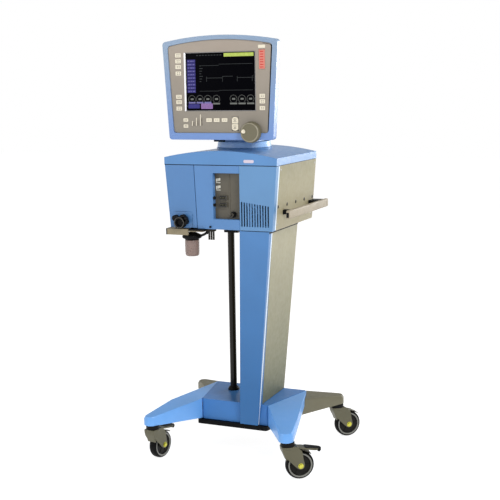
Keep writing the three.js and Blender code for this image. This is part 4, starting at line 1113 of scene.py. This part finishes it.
def build_trap():
    """Water trap: a flared black head with a curved spout over a clear vial."""
    high = box_mm("trap_cap")[1]
    vial_low, vial_high = box_mm("water_trap_vial")
    x = (vial_low.x + vial_high.x) / 2
    y = (vial_low.y + vial_high.y) / 2
    top = vial_high.z + 13
    wide = high.y - y
    profile = [(0, top), (13, top), (16, top - 0.6), (20, top - 3), (wide - 2.4, top - 7.6),
               (wide - 0.5, top - 9.6), (wide, top - 12), (wide - 0.4, top - 17), (wide - 1.4, top - 18.6),
               (wide - 5.4, top - 20), (22.8, top - 23.6), (22, top - 24.2), (19.5, top - 24.2),
               (19.5, top - 11.8), (0, top - 11.8)]
    head = lathe(profile, (x, y, 0), "z", 64)
    ribs = []
    rib = [(0, top - 17), (0.8, top - 16.6), (0.8, top - 11.4), (0, top - 11)]
    rib_count = 30
    for i in range(rib_count):
        turn = 2 * math.pi * i / rib_count
        centre = (x + (wide - 0.3) * math.cos(turn), y + (wide - 0.3) * math.sin(turn), 0)
        ribs.append(lathe(rib, centre, "z", 8))
    start = Vector((x + 20, y, top - 11))
    end = Vector((high.x - 3, y, high.z - 4))
    line = []
    for i in range(9):
        t = i / 8
        middle = Vector(((start.x + end.x) / 2, y, start.z - 1))
        line.append(start * (1 - t) ** 2 + middle * 2 * t * (1 - t) + end * t ** 2)
    spout = tube(line, 4.2, 20)
    tip = lathe([(0, -3), (4.6, -3), (5.4, -2), (5.4, 2.6), (4.6, 3.4), (0, 3.4)], (end.x, y, end.z), "x", 24)
    piece("trap_head", [head, spout, tip] + ribs, "root", "black", ["trap_cap"])
    bottom = vial_low.z
    wide = (vial_high.x - vial_low.x) / 2
    outer = [(0, bottom + 0.6), (wide - 10, bottom), (wide - 5, bottom + 0.6), (wide - 2.4, bottom + 2.4),
             (wide - 1, bottom + 5), (wide - 0.6, bottom + 12), (wide - 0.4, bottom + 20), (wide, top - 30),
             (wide, top - 26.4), (wide - 0.6, top - 25.2), (18.9, top - 24.8), (18.9, vial_high.z)]
    wall = 1.7
    inner = [(r - wall, h + (wall if r < 17 else 0.3)) for r, h in outer[1:-1]][::-1]
    profile = outer + [(18.9 - wall, vial_high.z)] + inner + [(0, bottom + 2.4)]
    piece("trap_vial", lathe(profile, (x, y, 0), "z", 64), "vial", "vial", ["water_trap_vial"])
    bands = []
    for i in range(4):
        h = bottom + 16 + i * 9
        bands.append(lathe(band(wide - 0.4, wide + 0.15, h - 0.35, h + 0.35), (x, y, 0), "z", 48))
    piece("vial_bands", bands, "vial", "vial_band")
    tray_low, tray_high = box_mm("trap_bracket")
    cap = prism(fillet([(tray_low.x - 0.4, tray_low.y - 0.3), (tray_low.x + 5, tray_low.y - 0.3),
                        (tray_low.x + 5, tray_high.y + 0.3), (tray_low.x - 0.4, tray_high.y + 0.3)], 2),
                "z", tray_high.z - 20.4, tray_high.z + 0.4)
    piece("tray_end", cap, "root", "black", edge=0.8)
    rail = slab((tray_low.x + 84, tray_high.x + 7), (tray_low.y - 3, tray_low.y + 40),
                (tray_high.z - 3.8, tray_high.z + 1.2))
    piece("tray_rail", rail, "root", "black", edge=1.0)
    profile = [(0, -207), (3, -206.4), (3.8, -204), (3, -201.6), (1.8, -199), (0, -199)]
    knob = lathe(profile, DRAIN_KNOB, "y", 20)
    piece("drain_knob", knob, "root", "black")


# ---------- column, pole and base ----------

def build_pole():
    """The dark pole beside the column and its stepped foot."""
    low, high = box_mm("support_pole")
    centre = ((low.x + high.x) / 2, (low.y + high.y) / 2, 0)
    radius = (high.x - low.x) / 2
    rod = lathe(disc(radius, low.z, high.z), centre, "z", 64)
    piece("pole", rod, "root", "pole", ["support_pole"])
    low, high = box_mm("pole_collar")
    wide = (high.x - low.x) / 2
    inner = radius + 0.1
    collar = lathe([(inner, low.z), (wide, low.z), (wide, low.z + 4), (wide - 1, low.z + 5.6),
                    (wide - 4, high.z - 1), (inner + 1, high.z), (inner, high.z - 0.6), (inner, low.z)],
                   centre, "z", 56)
    piece("pole_foot", collar, "root", "black", ["pole_collar"])


def build_column_gap_shadow():
    """A dark strip where the column meets the case, wide at the side and thin at the front: painted shadow in
    the gap under the case.
    """
    top = box_mm("column_rear_shell")[1].z
    low = box_mm("column_front_cover")[0]
    right, back = rear_corner("column_rear_shell", top)
    # Both black slabs are painted shadow where the case overhangs the column.
    dark_strips = [slab((right - 2, right + 0.5), (low.y + 3, back), (top - 7, top)),
             slab((low.x + 60, right - 1), (low.y - 0.2, low.y + 3), (top - 1.4, top + 0.4))]
    piece("column_gap_shadow", dark_strips, "root", "black")


def build_base_trim():
    """A rubber strip along the front of the underframe."""
    low, high = box_mm("base_underframe")
    bumper = slab((low.x + 12, high.x - 50), (low.y - 1.2, low.y + 5), (low.z + 2, high.z - 2))
    piece("base_bumper", bumper, "root", "rubber", edge=0.8)


# ---------- casters ----------

def caster_frame(name):
    """Where a caster stands: the swivel axis at the origin and the wheel trailing along +X."""
    stem = middle_mm("caster_stem_" + name)
    wheel = middle_mm("caster_wheel_" + name)
    trail = math.hypot(wheel.x - stem.x, wheel.y - stem.y)
    turn = math.atan2(wheel.y - stem.y, wheel.x - stem.x)
    place = Matrix.Translation((stem.x, stem.y, 0)) @ Matrix.Rotation(turn, 4, "Z")
    return place, trail, wheel.z


def build_wheel(name):
    """Tyre, two grey rims and a ribbed core."""
    place, trail, z = caster_frame(name)
    hub_at = (trail, 0, z)
    wide = z + LIFT
    half = [(wide - 11, 12), (wide - 9, 13.4), (wide - 6, 14), (wide - 3, 12.8), (wide - 1, 9.5),
            (wide - 0.2, 6), (wide, 2)]
    profile = mirrored(half) + [(wide - 11, -12)]
    piece("tyre_" + name, lathe(profile, hub_at, "y", 72), "wheel_" + name, "rubber",
          ["caster_wheel_" + name], place=place)
    rings = []
    for sign in (-1, 1):
        rings.append(lathe([(wide - 12, sign * 11), (wide - 11.4, sign * 13.4), (wide - 10.2, sign * 14.3),
                            (wide - 7.6, sign * 14.5), (wide - 6.6, sign * 13.6), (wide - 7, sign * 11),
                            (wide - 12, sign * 11)], hub_at, "y", 64))
    piece("rim_" + name, rings, "wheel_" + name, "grey_ring", place=place)
    half = [(5.4, 13.6), (11.5, 13.6), (13.4, 12.4), (14, 10.2), (wide - 16, 9.2), (wide - 13, 12),
            (wide - 10.8, 12)]
    hub = [lathe(mirrored(half) + [(5.4, -13.6)], hub_at, "y", 64)]
    spokes = 6
    for i in range(spokes):
        turn = Matrix.Rotation(2 * math.pi * i / spokes, 4, "Y")
        for sign in (-1, 1):
            rib = slab((13, wide - 14), sorted((sign * 8.5, sign * 11.2)), (-1.6, 1.6))
            rib.transform(Matrix.Translation(hub_at) @ turn)
            hub.append(rib)
    piece("hub_" + name, hub, "wheel_" + name, "hub", place=place)


def build_fork(name):
    """Hooded fork: two cheeks down to the axle and a hood that follows the wheel's top."""
    place, trail, z = caster_frame(name)
    top = FORK_TOP
    outline = [(-22, top), (-21, 84), (-14, 68), (trail - 13, z - 7), (trail - 1, z - 13),
               (trail + 11, z - 9), (trail + 14, z + 4), (trail + 9, z + 22), (trail + 6, z + 48), (27, top)]
    cheek = fillet(outline, [3, 6, 12, 8, 8, 10, 10, 12, 8, 3])
    parts = [prism(cheek, "y", 16.6, 20.2), prism(cheek, "y", -20.2, -16.6)]
    clearance = z + LIFT + 3
    hood = [(-22, top), (-21, 84), (-14, 68)]
    steps = 14
    for i in range(steps + 1):
        turn = math.radians(158 - i * 114 / steps)
        hood.append((trail + clearance * math.cos(turn), z + clearance * math.sin(turn)))
    hood += [(trail + 36, 72), (31, 86), (23.5, 88), (22.5, top)]
    parts.append(prism(fillet(hood, [3, 6, 6] + [0] * (steps + 1) + [2, 3, 1, 1]), "y", -16.8, 16.8))
    race = [(0, top - 8), (22.6, top - 8), (23, top - 6), (23, top - 1), (22, top + 0.3), (0, top + 0.3)]
    parts.append(lathe(race, (0, 0, 0), "z", 56))
    piece("fork_shell_" + name, parts, "fork_" + name, "fork", ["caster_fork_" + name],
          edge=1.3, place=place)
    bolts = []
    for sign in (-1, 1):
        bolts.append(lathe(disc(9, sign * 20, sign * 21), (trail, 0, z), "y", 28))
        head = [(0, sign * 20.8), (6.9, sign * 20.8), (6.9, sign * 23.8), (6, sign * 24.6), (0, sign * 24.6)]
        bolts.append(lathe(head, (trail, 0, z), "y", 6))
    bolts.append(lathe(disc(5, -20.5, 20.5), (trail, 0, z), "y", 24))
    piece("axle_" + name, bolts, "fork_" + name, "brass", place=place)


def build_pedal(name):
    """Foot pedal that slopes down to a hooked black toe, with a black tread on its top."""
    pin = Matrix.Translation(PEDAL_PIN)
    slope = Matrix.Rotation(math.radians(PEDAL_SLOPE), 4, "Y")
    place = caster_frame(name)[0] @ pin @ slope @ pin.inverted()
    plate = fillet(mirrored([(25, 15), (38, 15.3), (52, 17.6), (100, 12)]), [2, 8, 14, 2, 2, 14, 8, 2])
    parts = [prism(plate, "z", 91.2, 95.6)]
    for sign in (-1, 1):
        skirt = fillet([(42, 92), (98, 92), (94, 90), (80, 89.4), (44, 90)], 0.6)
        a, b = sorted((sign * 12.5, sign * 15.4))
        parts.append(prism(skirt, "y", a, b))
    reach = Vector((0, 15.4, 0))
    parts.append(tube([PEDAL_PIN - reach, PEDAL_PIN + reach], 4.5, 20))
    piece("pedal_plate_" + name, parts, "pedal_" + name, "fork", ["brake_pedal_" + name],
          edge=1.0, place=place)
    tread = fillet([(56, -17), (100, -12.6), (110, -9), (112.6, 0), (110, 9), (100, 12.6), (56, 17)],
                   [8, 6, 6, 4, 6, 6, 8])
    hook = fillet([(97, 96), (97, 91), (101, 85), (107, 84.6), (111, 92), (110, 96)], 2)
    pad = [prism(tread, "z", 95.4, 97.8), prism(hook, "y", -10, 10)]
    for i in range(6):
        u = 70 + i * 7
        pad.append(slab((u, u + 2), (-8, 8), (97.4, 98.8)))
    piece("pedal_toe_" + name, pad, "pedal_" + name, "black", edge=0.8, place=place)


# ---------- rear ----------

def build_rear():
    """Screws, blank plates and gas fittings on the rear panel."""
    low, high = box_mm("rear_panel")
    back = high.y
    screws = build_side_holes()
    for sign in (-1, 1):
        for z in (low.z + 14, high.z - 14):
            x = sign * (case_half(z) - 12)
            screws.append(lathe([(0, back - 0.6), (3.6, back - 0.6), (3.6, back + 0.4), (2.8, back + 0.9),
                                 (1.3, back + 0.9), (1.1, back + 0.1), (0, back + 0.1)], (x, 0, z), "y", 20))
    piece("panel_screws", screws, "root", "steel")
    plates = [rounded_slab(*plate, (back - 0.3, back + 0.35)) for plate in REAR_PLATES]
    piece("rear_plates", plates, "root", "label")
    fittings = []
    for x in GAS_X:
        centre = (x, 0, GAS_Z)
        for i in range(5):
            y = back + 15.2 + i * 2.4
            thread = [(8, y), (8.5, y + 0.5), (8.5, y + 1.1), (8, y + 1.6), (8, y)]
            fittings.append(lathe(thread, centre, "y", 40))
        fittings.append(lathe(band(12, 14.5, back + 2, back + 9), centre, "y", 6))
        fittings.append(lathe(disc(4.6, back + 28.8, back + 29.2), centre, "y", 24))
    piece("gas_fittings", fittings, "root", "alloy")


# ---------- assembly ----------

make_camera()
make_studio()
for look, names in CARRIED.items():
    for node in names:
        keep_cad(node, look, EDGES.get(node, EDGE))

build_monitor_shell()
build_window_frame()
build_screen_image()
build_keys()
build_alarm_marks()
build_dial()
build_bezel_shadow_gap()
build_neck()
build_case_trim()
build_edge_lines()
build_recess()
build_handle()
build_port()
build_trap()
build_pole()
build_column_gap_shadow()
build_base_trim()
build_rear()
for caster in ("front_left", "front_right", "rear_right", "rear_left"):
    build_wheel(caster)
    build_fork(caster)
for caster in ("front_left", "front_right"):
    build_pedal(caster)
